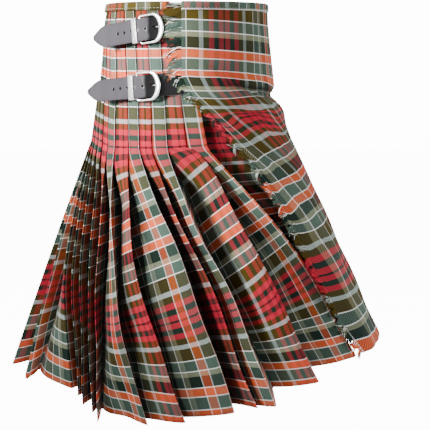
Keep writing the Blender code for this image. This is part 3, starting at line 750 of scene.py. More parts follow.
            # Where the folds are open, face and return share one pleat's cloth.
            free = opened if k else none
            scale = 1 + (HALF_SETT / np.maximum(face + back, 0.05) - 1) * free
            crease_place = self.first_place - (number - 1) * HALF_SETT + shift
            soft = self.crease + (hem_softness - self.crease) * at_hem
            deep = np.minimum(self.valley + self.open_valley * opened, 0.3 * face)
            if k:
                neighbour = np.radians(angles[:, k] - angles[:, k - 1]) * radius
                neighbour = np.clip(neighbour / face, 0.05, 0.95)
                ripple = 1 + (take_up - 1) * opened
                start, stop = 1 - deep / face, soft / face
                for t in np.linspace(0, 1, self.face_points):
                    share = start + (stop - start) * t
                    point = out + (before - out) * share
                    bulge = face_bulge * opened * np.sin(pi * share)
                    shown = self.step_share * np.minimum(share / neighbour, 1.0) ** 1.5
                    hidden = np.clip((share - neighbour) / (1 - neighbour), 0.0, 1.0) ** 0.7
                    pressed = before[1] * (shown + (1 - self.step_share) * hidden)
                    point[1] = point[1] * opened + pressed * (1 - opened) + bulge
                    # Painted shade on the face: darker towards its valley where the neighbour's
                    # crease shades it, in a line under the neighbour's edge above the fell, and
                    # painted lighter or darker for each crease as listed.
                    by_edge = smooth((share - neighbour + 0.10) / 0.10) * (1 - opened)
                    deep_share = smooth((share / neighbour - 0.52) / 0.53)
                    light = 1 - self.painted_face_shade * gap * deep_share * opened
                    light = light * (1 - self.painted_edge_shade * by_edge)
                    light = light * (1 + (painted_crease_light - 1) * opened)
                    columns.append((point, crease_place - face * share * scale * ripple, light,
                                    -slant * slanting * face * share))
            turn(out + (before - out) * (soft / face), out, out + (dip - out) * (soft / back),
                 self.turn_points + 2, crease_place, soft * scale, none + 1)
            start, stop = soft / back, 1 - deep / back
            for t in np.linspace(0, 1, self.return_points):
                share = start + (stop - start) * t
                point = out + (dip - out) * share
                bulge = return_bulge * opened * np.sin(pi * share)
                pressed = dip[1] * (0.13 * np.minimum(share / 0.15, 1.0) + 0.87 * share**1.6)
                point[1] = point[1] * opened + pressed * (1 - opened) - bulge * 0.5
                # Painted shade on the return, darker the deeper it runs into the fold.
                columns.append((point, crease_place + back * share * scale,
                                1 - self.painted_return_shade * share * opened, none))
            length = np.hypot(np.radians(ahead[0] - dip[0]) * radius, ahead[1] - dip[1])
            # Painted shade round the inner crease.
            turn(dip + (out - dip) * (deep / back), dip,
                 dip + (ahead - dip) * (np.minimum(deep, 0.3 * length) / length),
                 self.turn_points, crease_place + back * scale, deep * scale,
                 1 - self.painted_return_shade * opened)
            before = dip
        grid, across, self.light, slants = (np.stack(part, axis=-1) for part in zip(*columns))
        self.points = on_ring(grid[2], grid[0], grid[1])
        weft = self.rows + read(PLEAT_WEFT, 1, self.rows)
        self.places = np.stack([across, weft[:, None] + slants], axis=-1)

    @property
    def per_pleat(self) -> int:
        """Columns in one pleat."""
        return self.face_points + self.turn_points + self.return_points + self.turn_points - 2

    def seam(self, at: int) -> tuple[tuple[Array, Array], ...]:
        """The two edges of a seam halfway between a column and the next: points and places."""
        edges = []
        for side in (-1, 1):
            a, b = self.points[:, at], self.points[:, at + 1]
            half = SEAM_GAP / 2 / np.linalg.norm(b - a, axis=1)[:, None]
            share = 0.5 + side * np.minimum(half, 0.4)
            c, d = self.places[:, at], self.places[:, at + 1]
            edges.append((a + (b - a) * share, c + (d - c) * share))
        return tuple(edges)

    def part(self, start: int, stop: int) -> tuple[Array, ...]:
        """Points and places of the columns between two seams, with the seams' edges."""
        left, right = self.seam(start)[1], self.seam(stop)[0]
        return tuple(beside(first, grid[:, start + 1 : stop + 1], last)
                     for first, grid, last in zip(left, (self.points, self.places), right))

    def return_column(self, pleat: int) -> int:
        """A column in the middle of a pleat's return."""
        return self.turn_points + self.return_points // 2 + pleat * self.per_pleat

    def dress(self, finish: Material) -> None:
        """Make the two pleated pieces."""
        last = len(CREASES) - 1
        hip, back, end = (self.return_column(k) for k in (0, self.back_seam, last))
        for name, start, stop, pleats in (("pleats_left", hip, back, self.back_seam),
                                          ("pleats_right", back, end, last - self.back_seam)):
            light = self.light[:, [start, *range(start + 1, stop + 1), stop]]
            piece = cloth_mesh(name + "_cloth", *self.part(start, stop), finish, open_light=light)
            declare(piece, [name])


# ---------------------------------------------------------------- aprons
@dataclass
class Aprons:
    """The over apron, from its fringed edge to the left hip, and the under apron inside it."""

    pleats: Pleats
    lift: float = 0.0028
    edge_lift: float = 0.0070
    under_lift: float = -0.0040
    columns: int = 150
    under_columns: int = 60
    first_white: float = -0.0605    # the first white stripe lies between the olive and the sage
    shade: float = 0.85             # painted shadow under the bulge above the lower drag fold
    painted_shadow_depth: float = 0.0105
    painted_shadow_angles: tuple[float, ...] = (10, 25, 90, 40)
    stretch_reach: float = 0.05     # how far past the stripe the cloth is stretched
    # painted shade over all of the under apron, which lies inside the over apron
    under_painted_light: float = 0.55
    under_shift: float = 0.038      # of the under apron's tartan past the last pleat's
    #  drag folds across the front: angle, depth, height, half width
    groove: Table = (
        (6, 0.083, 0.0, 0.006), (20, 0.102, -0.0040, 0.006), (40, 0.128, -0.0080, 0.006),
        (70, 0.137, -0.0115, 0.006), (100, 0.135, -0.0070, 0.008), (130, 0.118, -0.0030, 0.008),
        (160, 0.110, 0.0, 0.008))
    #  where the bulge above the lower drag fold ends and the painted shadow below it starts: angle,
    #  depth
    overhang: Table = ((6, 0.106), (20, 0.110), (27, 0.1125), (39, 0.118), (49, 0.121), (75, 0.126),
                       (95, 0.128))
    #  the first white stripe from the fringed edge: down the cloth, distance on the cloth, share of
    #  the way across where it lies, stretch of the cloth just past it
    edge_stripe: Table = (
        (0.000, 0.009, 0.013, 1.10), (0.060, 0.009, 0.015, 1.10), (0.125, 0.009, 0.013, 1.10),
        (0.160, 0.012, 0.016, 1.00), (0.180, 0.016, 0.022, 0.85), (0.200, 0.020, 0.033, 0.65),
        (0.218, 0.022, 0.047, 0.60), (0.242, 0.024, 0.074, 0.60), (0.265, 0.026, 0.105, 0.60),
        (0.289, 0.028, 0.128, 0.62), (0.335, 0.031, 0.150, 0.65), (0.374, 0.033, 0.172, 0.70),
        (0.429, 0.036, 0.182, 0.70), (0.515, 0.040, 0.185, 0.75), (0.585, 0.042, 0.205, 0.75))
    #  how much higher the weft lies than the distance down (mm), at stops across the apron, in
    #  tenths of a mm: the cloth is drawn up at the straps and tucked under below them
    weft_stops: tuple[float, ...] = (0.02, 0.08, 0.16, 0.26, 0.38)
    weft_shift: Table = (
        (0, -75, -90, -110, -135, -155), (30, -77, -90, -110, -135, -156),
        (62, -65, -90, -120, -150, -185), (80, -80, -100, -130, -165, -195),
        (94, -65, -90, -125, -170, -210), (103, -25, -60, -110, -170, -222),
        (125, -12, -30, -70, -120, -257), (140, 20, -8, -8, -8, -100), (156, 60, 60, 60, -10, -10),
        (164, 55, 60, -18, -18, 40), (172, 55, 255, 284, 40, 40), (187, 50, 220, 300, 128, 120),
        (203, 75, 235, 345, 240, 220), (211, 90, 235, 320, 274, 260),
        (226, 118, 205, 290, 343, 330), (242, 75, 187, 275, 347, 347),
        (257, 31, 187, 265, 320, 330), (273, 35, 155, 225, 280, 300), (289, 45, 135, 200, 290, 315),
        (304, 30, 165, 220, 273, 290), (320, 0, 120, 180, 240, 260), (335, -40, 100, 165, 200, 220),
        (351, -60, 70, 175, 175, 180), (367, 15, 60, 130, 179, 179), (382, 23, 60, 100, 140, 150),
        (400, 14, 85, 90, 92, 92), (425, -30, 10, 40, 50, 50), (450, -76, -50, -20, 0, 0),
        (491, -84, -84, -84, -84, -84), (515, -95, -95, -95, -95, -95),
        (535, -155, -125, -100, -95, -95), (565, -165, -180, -200, -236, -236),
        (585, -270, -270, -270, -280, -280),
    )
    points: Array = field(init=False)
    places: Array = field(init=False)
    light: Array = field(init=False)

    def over_lift(self, row: float, across: Array) -> Array:
        """Lift of the over apron at a distance down and a share of the way across."""
        ride = (self.edge_lift - self.lift) * (1 - smooth((across - 0.03) / 0.10))
        ride = ride * (1 - 0.7 * smooth((row - 0.16) / 0.10))
        sink = (self.lift - 0.0013) * smooth((across - 0.94) / 0.06)
        return self.lift + ride - sink

    def fold(self, depth: Array, angle: Array) -> Array:
        """Height of the drag folds."""
        away = (depth - read(self.groove, 1, angle)) / read(self.groove, 3, angle)
        dent = read(self.groove, 2, angle) * np.exp(-away * away)
        swell = -0.55 * read(self.groove, 2, angle) * np.exp(-((away - 3.2) / 2.2) ** 2)
        waves = 0.0012 * np.sin(angle * 0.16 + depth * 60) * smooth((depth - 0.24) / 0.1)
        return dent + swell + waves

    def over(self) -> None:
        """Lay the over apron out on its grid."""
        rows = self.pleats.rows
        across = np.linspace(0.0, 0.985, self.columns)
        fringed = read(APRON_EDGE, 1, rows)
        left = crease_angles(rows, CREASES[-1]) + 360
        angles = fringed[:, None] + (left - fringed)[:, None] * across[None, :]
        self.points = hang(
            rows, angles,
            lambda i, depth, angle: self.over_lift(rows[i], across) + self.fold(depth, angle))
        # Painted shadow: a dark band just below the bulge above the lower drag fold, fading
        # downwards.
        below = (-self.points[..., 2] - read(self.overhang, 1, angles)) / self.painted_shadow_depth
        shaded = between(angles, *self.painted_shadow_angles)
        shaded = shaded * smooth(below / 0.3 + 0.7) * np.exp(-np.maximum(below, 0.0) ** 2)
        self.light = 1 - self.shade * shaded
        width = run_along(self.points)
        edge, share = read(self.edge_stripe, 1, rows), read(self.edge_stripe, 2, rows)
        there = np.array([[np.interp(part, across, line)] for part, line in zip(share, width)])
        before = edge[:, None] * (width / there - 1)
        beyond = width - there
        ease = (read(self.edge_stripe, 3, rows) - 1)[:, None] * self.stretch_reach
        after = beyond + ease * (1 - np.exp(-np.maximum(beyond, 0.0) / self.stretch_reach))
        place = self.first_white + np.where(beyond < 0, before, after)
        # Towards the left hip the warp hangs plumb with the apron's turn.
        plumb = np.median(place[:, -1]) - (width[:, -1:] - width)
        place = place + (plumb - place) * smooth((across - 0.42) / 0.5)
        shift = MM / 10 * read_across(self.weft_shift, self.weft_stops, rows / MM, across)
        home = np.clip((across - self.weft_stops[-1]) / 0.5, 0.0, 1.0)[None, :]
        shift = shift * (1 - home) + read(PLEAT_WEFT, 1, rows)[:, None] * home
        self.places = np.stack([place, rows[:, None] + shift], axis=-1)

    def under(self) -> tuple[Array, Array]:
        """Lay the under apron out, from the last pleat's return."""
        rows = self.pleats.rows
        start, end = crease_angles(rows, UNDER_START), read(UNDER_END, 1, rows)
        across = np.linspace(0.0, 1.0, self.under_columns)
        angles = start[:, None] + (end - start)[:, None] * across[None, :]
        flat = hang(rows, angles, lambda i, depth, angle: np.full_like(angle, self.under_lift))
        pleats = self.pleats
        within = pleats.return_column(len(CREASES) - 1) + 1
        point, place = pleats.seam(within - 1)[1]
        last, ahead = pleats.points[:, -1], flat[:, 0]
        bridge = [last + (ahead - last) * t for t in np.linspace(0, 1, 10)[1:-1]]
        flat = beside(*bridge, flat)
        width = run_along(beside(last, flat))[:, 1:]
        across = pleats.places[:, -1:, 0] + self.under_shift + width
        places = np.stack([across, np.repeat(pleats.places[:, -1:, 1], width.shape[1], axis=1)], -1)
        return (beside(point, pleats.points[:, within:], flat),
                beside(place, pleats.places[:, within:], places))

    def dress(self, finish: Material, fringe: Material) -> None:
        """Make both aprons and the fringe."""
        self.over()
        pleats = self.pleats
        hip = pleats.return_column(0) + 1
        seam_point, seam_place = pleats.seam(hip - 1)[0]
        turn = pleats.places[:, :hip].copy()
        turn[..., 0] += (self.places[:, -1, 0] + 0.004 - turn[:, 0, 0])[:, None]
        seam_place = np.stack([turn[:, -1, 0] + 0.002, seam_place[:, 1]], axis=-1)
        points = beside(self.points, pleats.points[:, :hip], seam_point)
        places = beside(self.places, turn, seam_place)
        light = np.concatenate([self.light, pleats.light[:, : hip + 1]], axis=1)
        over = declare(cloth_mesh("over_apron_cloth", points, places, finish, open_light=light),
                       ["over_apron"])
        tufts = Fringe(self).dress(fringe)
        points, places = self.under()
        # Painted shade: the under apron is darkened all over, and the last pleat's return keeps its
        # own painted light.
        light = np.full(points.shape[:2], self.under_painted_light)
        within = pleats.light[:, pleats.return_column(len(CREASES) - 1) :]
        light[:, : within.shape[1]] = within
        under = declare(cloth_mesh("under_apron_cloth", points, places, finish, open_light=light),
                        ["under_apron"])


@dataclass
class Fringe:
    """Pulled threads along the over apron's edge, in small uneven tufts."""

    aprons: Aprons
    strands: int = 4200
    thickness: float = 0.00046
    reach: float = 0.0175
    blend: float = 0.0022            # how far neighbouring threads mix in a tuft
    margins: tuple[float, float] = (0.004, 0.002)    # above the first thread, below the last
    tuft_threads: tuple[int, int] = (9, 26)
    tuft_lean: tuple[float, float] = (-0.55, 0.95)
    tuft_reach: tuple[float, float] = (0.48, 1.15)
    stations: tuple[float, ...] = (0.0, 0.3, 0.62, 1.0)
    taper: tuple[float, ...] = (1.0, 1.0, 0.85, 0.3)
    uneven: float = 0.0012           # most that a thread frays up or down
    seed: int = 7

    def dress(self, finish: Material) -> Object:
        """Make the fringe as one mesh of thin three-sided strands."""
        chance = random.Random(self.seed)
        rows = self.aprons.pleats.rows
        edge, inner = self.aprons.points[:, 0], self.aprons.points[:, 3]
        weft = self.aprons.places[:, 0, 1]
        strand_faces = tube_faces(3, 4, closed=False)
        length = WAIST_TO_HEM - sum(self.margins)
        verts, faces, places = [], [], []
        left = 0

        def sample(row: float, line: Array) -> Vector:
            """The point of one of the apron's columns at a distance down."""
            return Vector([np.interp(row, rows, line[:, i]) for i in range(3)])

        for n in range(self.strands):
            row = self.margins[0] + length * (n + chance.random()) / self.strands
            if left <= 0:
                left = chance.randint(*self.tuft_threads)
                tuft_lean = chance.uniform(*self.tuft_lean)
                shortest, longest = self.tuft_reach
                tuft_reach = chance.uniform(shortest + 0.3 * (row < 0.12), longest)
                tuft_rise = chance.uniform(0.0, 1.0)
            left -= 1
            at = sample(row, edge)
            out = (at - sample(row, inner)).normalized()
            down = (sample(row + 0.004, edge) - at).normalized()
            normal = Vector((at.x, at.y, 0.0)).normalized()
            colour = float(np.interp(row, rows, weft)) + chance.gauss(0, self.blend)
            reach = self.reach * tuft_reach * chance.uniform(0.72, 1.1)
            reach *= 1.5 - 0.65 * min(row / 0.16, 1.0)
            lean = tuft_lean + chance.uniform(-0.22, 0.22) + 0.1
            lean *= 0.35 + 0.65 * min(row / 0.14, 1.0)
            rise = 0.0008 + 0.0022 * tuft_rise * chance.random()
            frayed = chance.uniform(-self.uneven, self.uneven)
            base = at - out * 0.0012 + normal * chance.uniform(0.0, 0.0006)
            spine = []
            for t in self.stations:
                bend = out * (reach * t) + down * (reach * lean * t * t)
                lifted = normal * (rise * sin(pi * min(t * 1.15, 1.0)) - 0.0012 * t)
                spine.append(base + bend + lifted + down * frayed * t)
            start = len(verts)
            for i, p in enumerate(spine):
                along = (spine[min(i + 1, 3)] - spine[max(i - 1, 0)]).normalized()
                side = along.cross(normal).normalized()
                thick = self.thickness * self.taper[i]
                for turn in (0, 2 * pi / 3, 4 * pi / 3):
                    verts.append(p + (side * cos(turn) + normal * sin(turn)) * thick)
                    places.append((0.02 * i, colour))
            faces += [tuple(start + i for i in face) for face in strand_faces]
        piece = new_piece("apron_fringe_tufts", verts, faces, finish)
        mark_places(piece.data, np.array(places))
        recalculate(piece.data)
        return declare(piece, ["apron_fringe"])


# ---------------------------------------------------------------- waistband
@dataclass
class Waistband:
    """Binding folded over the top edge, with a row of stitches above its lower edge."""

    name: str
    start: float
    end: float
    outer: Callable[[float], float]
    inner: Callable[[float], float]
    weft_top: float                 # place on the cloth of the binding's top edge
    warp_start: float = -0.03
    height: float = 0.0115
    wall: float = 0.0009
    section_pitch: float = 1.6      # degrees
    stitch_depth: float = 0.0088
    stitch_pitch: float = 0.0052
    stitch_length: float = 0.0032
    stitch_radius: float = 0.00035
    leg: float = 0.0045             # depth of the section's bend below its roll
    roll: float = 0.0016            # radius of the fold over the top edge

    def profile(self, angle: float) -> list[tuple[float, float]]:
        """Lift and depth round the binding's section, from the outer leg's lower edge."""
        out, into = self.outer(angle), self.inner(angle)
        over = min(self.roll, (out - into) / 2)
        path = [(out, self.height), (out, self.leg), (out, over)]
        path += [(out - over + over * cos(t), over - over * sin(t)) for t in (0.5, 1.0, pi / 2)]
        path += [(into + over - over * sin(t), over - over * cos(t))
                 for t in (0.0, 0.6, 1.1, pi / 2)]
        return path + [(into, self.leg), (into, self.height)]

    def dress(self, cloth: Material, thread: Material) -> None:
        """Make the binding and its stitches."""
        count = round((self.end - self.start) / self.section_pitch)
        angles = np.linspace(self.start, self.end, count + 1)
        sections = [self.profile(angle) for angle in angles]
        grid = np.array([[on_ring(depth + 0.0002, angle, lift + self.wall / 2)
                          for lift, depth in section] for angle, section in zip(angles, sections)])
        grid = grid.transpose(1, 0, 2)
        width, deep = run_along(grid[:1])[0], run_along(grid[:, :1].transpose(1, 0, 2))[0]
        places = np.stack(np.meshgrid(width + self.warp_start,
                                      self.weft_top + self.height - deep), axis=-1)
        piece = cloth_mesh(self.name + "_binding", grid[:, ::-1], places[:, ::-1], cloth, self.wall)
        declare(piece, [self.name])
        length = float(width[-1])
        self.stitches(thread, length)

    def stitches(self, thread: Material, length: float) -> None:
        """Model one stitch and copy it along the binding."""
        bpy.ops.mesh.primitive_cylinder_add(vertices=6, radius=self.stitch_radius,
                                            depth=self.stitch_length)
        stitch = bpy.context.object
        bpy.ops.object.mode_set(mode="EDIT")
        bpy.ops.mesh.select_all(action="SELECT")
        bpy.ops.mesh.bevel(offset=0.0002, segments=1, affect="EDGES")
        bpy.ops.object.mode_set(mode="OBJECT")
        work = bmesh.new()
        count = round(length / self.stitch_pitch)
        for n in range(count):
            angle = self.start + (self.end - self.start) * (n + 0.5) / count
            here, there = (
                Vector(on_ring(self.stitch_depth, angle + turn,
                               self.outer(angle) + self.wall + 0.0001))
                for turn in (0.0, 0.4)
            )
            lie = (there - here).to_track_quat("Z", "Y").to_matrix().to_4x4()
            copy = stitch.data.copy()
            copy.transform(Matrix.Translation(here) @ lie)
            work.from_mesh(copy)
            bpy.data.meshes.remove(copy)
        bpy.data.objects.remove(stitch)
        piece = new_piece(self.name + "_stitches", [], [], thread)
        work.to_mesh(piece.data)
        work.free()
        declare(piece)


# ---------------------------------------------------------------- straps and buckles
@dataclass
class Strap:
    """A leather strap with its tab, buckle and keeper."""

    name: str
    bar_angle: float
    bar_depth: float
    rise: float
    extra: float
    sewn_lift: float
    reach: float
    width: float = 0.0310
    wall: float = 0.0020
    point: float = 0.0200           # length of the narrowing tip
    tip_share: float = 0.16         # width left at its end
    cup: float = 0.0004             # how far the free end's edges bend down
    hip_radius: float = 0.155
    bar_lift: float = 0.0077
    bar_radius: float = 0.0016
    frame_length: float = 0.0350
    frame_straight: float = 0.0210
    frame_half: float = 0.0189
    end_half_width: float = 0.0036
    tilt: float = 0.0046
    prong_hole: float = 0.0225
    hole_pitch: float = 0.0118
    hole_radius: float = 0.0015
    holes: tuple[int, ...] = (0, 1, 3, 4, 5)   # number 2 would lie over the bar
    prong_hole_share: float = 1.7   # of the others' radius
    keeper_back: float = 0.0068
    keeper_width: float = 0.0078
    keeper_wall: float = 0.0010
    keeper_corner: float = 0.0016
    prong_radius: float = 0.0011
    bar_share: float = 0.86         # of the frame's half width that the bar is straight for
    corner: float = 0.0026          # how far the frame's corners by the bar reach forward
    tab_margin: float = 0.0055
    tab_wall: float = 0.0014
    tab_clear: float = 0.0006
    tab_reach: float = 0.0270
    slot_half: float = 0.0023
    slot_size: tuple[float, float, float] = (0.016, 0.0044, 0.014)
    #  distance forward of the bar, lift
    lifts: Table = (
        (-0.0775, 0.0325), (-0.0575, 0.0222), (-0.036, 0.0159), (-0.015, 0.0131), (0.000, 0.0128),
        (0.006, 0.0124), (0.012, 0.0119), (0.017, 0.0106), (0.0225, 0.0080), (0.0265, 0.0058),
        (0.031, 0.0047), (0.046, 0.0045), (0.060, 0.0040), (0.100, 0.0036),
    )

    def at(self, forward: float, lift: float, up: float = 0.0) -> Vector:
        """A point above the pleats: distance forward of the bar, lift, height on the strap."""
        angle = self.bar_angle + degrees(forward / self.hip_radius)
        depth = self.bar_depth - self.rise * forward
        sewn = float(smooth((forward - self.frame_length) / self.frame_straight))
        extra = self.extra * (1 - sewn) + self.sewn_lift * sewn
        here, above, ahead = (
            Vector(on_ring(d, a, lift + extra))
            for d, a in ((depth, angle), (depth - 0.001, angle), (depth, angle + 0.1))
        )
        upward = (above - here).normalized() - self.rise * (ahead - here).normalized()
        return here + upward.normalized() * up

    def lift_at(self, forward: float) -> float:
        """The strap's lift, eased over its bends."""
        near = forward + np.linspace(-0.003, 0.003, 5)
        return float(np.mean(read(self.lifts, 1, near)))

    def half_width(self, forward: float) -> float:
        """Half the strap's width, narrowing to its tip."""
        share = min((forward - self.lifts[0][0]) / self.point, 1.0)
        swell = sin(pi / 2 * max(share, 0.0))
        return self.width / 2 * (self.tip_share + (1 - self.tip_share) * swell)

    def axes(self, forward: float, lift: float) -> tuple[Vector, Vector, Vector, Vector]:
        """A place on the strap and its directions: along, up and out."""
        here = self.at(forward, lift)
        along = (self.at(forward + 0.002, lift) - here).normalized()
        up = (self.at(forward, lift, 0.002) - here).normalized()
        return here, along, up, along.cross(up).normalized()

    def leather(self, finish: Material) -> None:
        """Make the strap: a narrowing tip, rounded edges and punched holes."""
        start = self.lifts[0][0]
        stations = [start + (self.reach - start) * i / 90 for i in range(91)]
        stations[1:1] = [start + 0.0003, start + 0.0008]
        sides = np.linspace(1, -1, 9)
        halves = np.array([self.half_width(forward) for forward in stations])
        grid = []
        for forward, half in zip(stations, halves):
            lift, cup = self.lift_at(forward), self.cup * smooth((0.03 - forward) / 0.05)
            grid.append([tuple(self.at(forward, lift - cup * s * s, half * s)) for s in sides])
        places = np.stack(np.broadcast_arrays(stations, sides[:, None] * halves), axis=-1)
        piece = cloth_mesh(f"strap_{self.name}_leather", np.array(grid).transpose(1, 0, 2), places,
                           finish, self.wall)
        for number in self.holes:
            forward = self.prong_hole - self.hole_pitch * number
            here, _, _, out = self.axes(forward, self.lift_at(forward))
            radius = self.hole_radius * (1.0 if number else self.prong_hole_share)
            bpy.ops.mesh.primitive_cylinder_add(vertices=20, radius=radius, depth=0.012,
                                                location=here)
            bpy.context.object.rotation_euler = out.to_track_quat("Z", "Y").to_euler()
            cut(piece, bpy.context.object)
        soften = piece.modifiers.new("Edge", "BEVEL")
        soften.width = 0.0005
        soften.segments = 2
        soften.limit_method = "ANGLE"
        apply_modifiers(piece)
        smooth_at(piece, 35)
        declare(piece, ["strap_" + self.name])

    def tab(self, finish: Material) -> None:
        """Make the tab that carries the buckle: it runs under the strap and round the bar."""
        turn = self.bar_radius + self.tab_clear + self.tab_wall / 2
        low = self.bar_lift - turn
        path = [(-self.tab_reach + self.tab_reach * i / 8, low) for i in range(9)]
        path += [(turn * sin(pi * i / 12), self.bar_lift - turn * cos(pi * i / 12))
                 for i in range(1, 13)]
        path += [(-0.004, self.bar_lift + turn)]
        half = self.frame_half - self.tab_margin
        ups = [half, half * 0.5, self.slot_half, -self.slot_half, -half * 0.5, -half]
        grid = np.array([[tuple(self.at(f, lift, up)) for f, lift in path] for up in ups])
        # The tab gets none of the painted sheen: black all over.
        piece = cloth_mesh(f"tab_{self.name}_leather", grid, np.ones(grid.shape[:2] + (2,)), finish,
                           self.tab_wall)
        here, along, up, out = self.axes(0.0, self.bar_lift)
        bpy.ops.mesh.primitive_cube_add(size=1, location=here + along * 0.002)
        cutter = bpy.context.object
        cutter.scale = self.slot_size
        cutter.rotation_euler = Matrix((along, up, out)).transposed().to_euler()
        cut(piece, cutter)
        smooth_at(piece, 35)
        declare(piece, ["tab_" + self.name])

    def sweep(self, name: str, path: Sequence[Vector], widths: Sequence[float],
              thicks: Sequence[float], out: Vector, closed: bool, finish: Material) -> Object:
        """Sweep a rounded section along a path.

        Args:
            name: The piece's name.
            path: Its middle line.
            widths: Half widths in the buckle's plane.
            thicks: Half thicknesses across it.
            out: The plane's normal.
            closed: Whether the path is a loop.
            finish: The material.

        Returns:
            The piece.
        """
        sides, count = 16, len(path)
        rings = []
        for i, p in enumerate(path):
            ahead = path[(i + 1) % count] if closed or i < count - 1 else p
            behind = path[i - 1] if closed or i else p
            along = (ahead - behind).normalized()
            across = out.cross(along).normalized()
            up = along.cross(across)
            for s in range(sides):
                c, n = cos(2 * pi * s / sides), sin(2 * pi * s / sides)
                # A superellipse, so the cast bar is flatter than it is round.
                c, n = (abs(v) ** 0.8 * (1 if v > 0 else -1) for v in (c, n))
                rings.append(p + across * (widths[i] * c) + up * (thicks[i] * n))
        return metal(name, rings, sides, closed, finish)

    def buckle(self, finish: Material) -> None:
        """Make the D shaped frame, its prong and the keeper."""
        bar, _, up, _ = self.axes(0.0, self.bar_lift)
        end = self.at(self.frame_length, self.bar_lift + self.tilt)
        along = (end - bar).normalized()
        out = along.cross(up).normalized()
        up = out.cross(along)

        def place(x: float, y: float, z: float = 0.0) -> Vector:
            """A point in the buckle's plane."""
            return bar + along * x + up * y + out * z

        thin, half, length = self.bar_radius, self.frame_half, self.frame_length
        straight, share = self.frame_straight, self.bar_share
        side = []
        for turn in (pi / 2 * i / 6 for i in range(1, 6)):
            y = half * (share + (1 - share) * sin(turn))
            side.append((self.corner * (1 - cos(turn)), y, thin))
        side += [(0.006 + 0.005 * k, half, thin) for k in range(3)]
        outline = [(0.0, half * share * (1 - i / 6), thin) for i in range(13)]
        outline += [(x, -y, width) for x, y, width in side]
        steps = 44
        for turn in (-pi / 2 + pi * i / steps for i in range(steps)):
            swell = float(smooth(cos(turn)))
            outline.append((straight + (length - straight) * cos(turn), half * sin(turn),
                            thin + 0.0002 + (self.end_half_width - thin) * swell))
        outline += [(straight, half, thin)] + side[::-1]
        piece = self.sweep(
            f"buckle_{self.name}_frame", [place(x, y) for x, y, _ in outline],
            [width for _, _, width in outline], [thin] * len(outline), out, True, finish)
        declare(piece, ["buckle_frame_" + self.name])

        clear = thin + SEAM_GAP + self.prong_radius
        knots = [(clear, -clear * 0.2), (0.012, -0.0007), (0.018, -0.0022),
                 (self.prong_hole, -0.0019), (0.027, 0.0006), (0.0305, 0.0029),
                 (length + 0.0014, clear + 0.0002)]
        xs = np.linspace(knots[0][0], knots[-1][0], 28)
        spine = [place(float(x), 0.0, float(np.mean([np.interp(x + d, *zip(*knots))
                                                     for d in (-0.0015, 0.0, 0.0015)])))
                 for x in xs]
        taper = [self.prong_radius * (1 - 0.35 * smooth((x - 0.02) / 0.016)) for x in xs]
        piece = self.sweep(f"buckle_{self.name}_prong", spine, taper, taper, out, False, finish)
        declare(piece, ["buckle_prong_" + self.name])
        self.keeper(finish)

    def keeper(self, finish: Material) -> None:
        """Make the keeper: a flat loop with rounded edges round the strap and the tab."""
        low = self.bar_lift - self.bar_radius - self.tab_clear - self.tab_wall - SEAM_GAP
        low -= self.keeper_wall
        high = float(read(self.lifts, 1, -self.keeper_back)) + self.wall / 2 + SEAM_GAP * 2
        half = self.width / 2 + SEAM_GAP * 4
        middle_low, middle_high = low - self.keeper_wall / 2, high + self.keeper_wall / 2
        middle_half = half + self.keeper_wall / 2
        corner = self.keeper_corner
        upper, lower, side = middle_high - corner, middle_low + corner, middle_half - corner
        path = []
        for cx, cy, first in ((upper, side, 0.0), (lower, side, 90.0), (lower, -side, 180.0),
                              (upper, -side, 270.0)):
            for k in range(6):
                turn = radians(first + 18 * k)
                path.append((cx + corner * cos(turn), cy + corner * sin(turn)))
        section = [(w * self.keeper_width / 2, t * self.keeper_wall / 2) for w, t in (
            (-1, 0.4), (-0.93, 1), (-0.5, 1.1), (0, 1.15), (0.5, 1.1), (0.93, 1), (1, 0.4),
            (1, -0.3), (0.9, -1), (-0.9, -1), (-1, -0.3))]
        rings = []
        for i, (lift, y) in enumerate(path):
            ahead, behind = path[(i + 1) % len(path)], path[i - 1]
            run = Vector((ahead[0] - behind[0], ahead[1] - behind[1])).normalized()
            rings += [self.at(-self.keeper_back + w, lift + run.y * t, y - run.x * t)
                      for w, t in section]
        piece = metal(f"keeper_{self.name}_loop", rings, len(section), True, finish)
        declare(piece, ["keeper_" + self.name])

    def dress(self, leather: Material, chrome: Material) -> None:
        """Make all of the strap."""
        self.leather(leather)
        self.tab(leather)
        self.buckle(chrome)


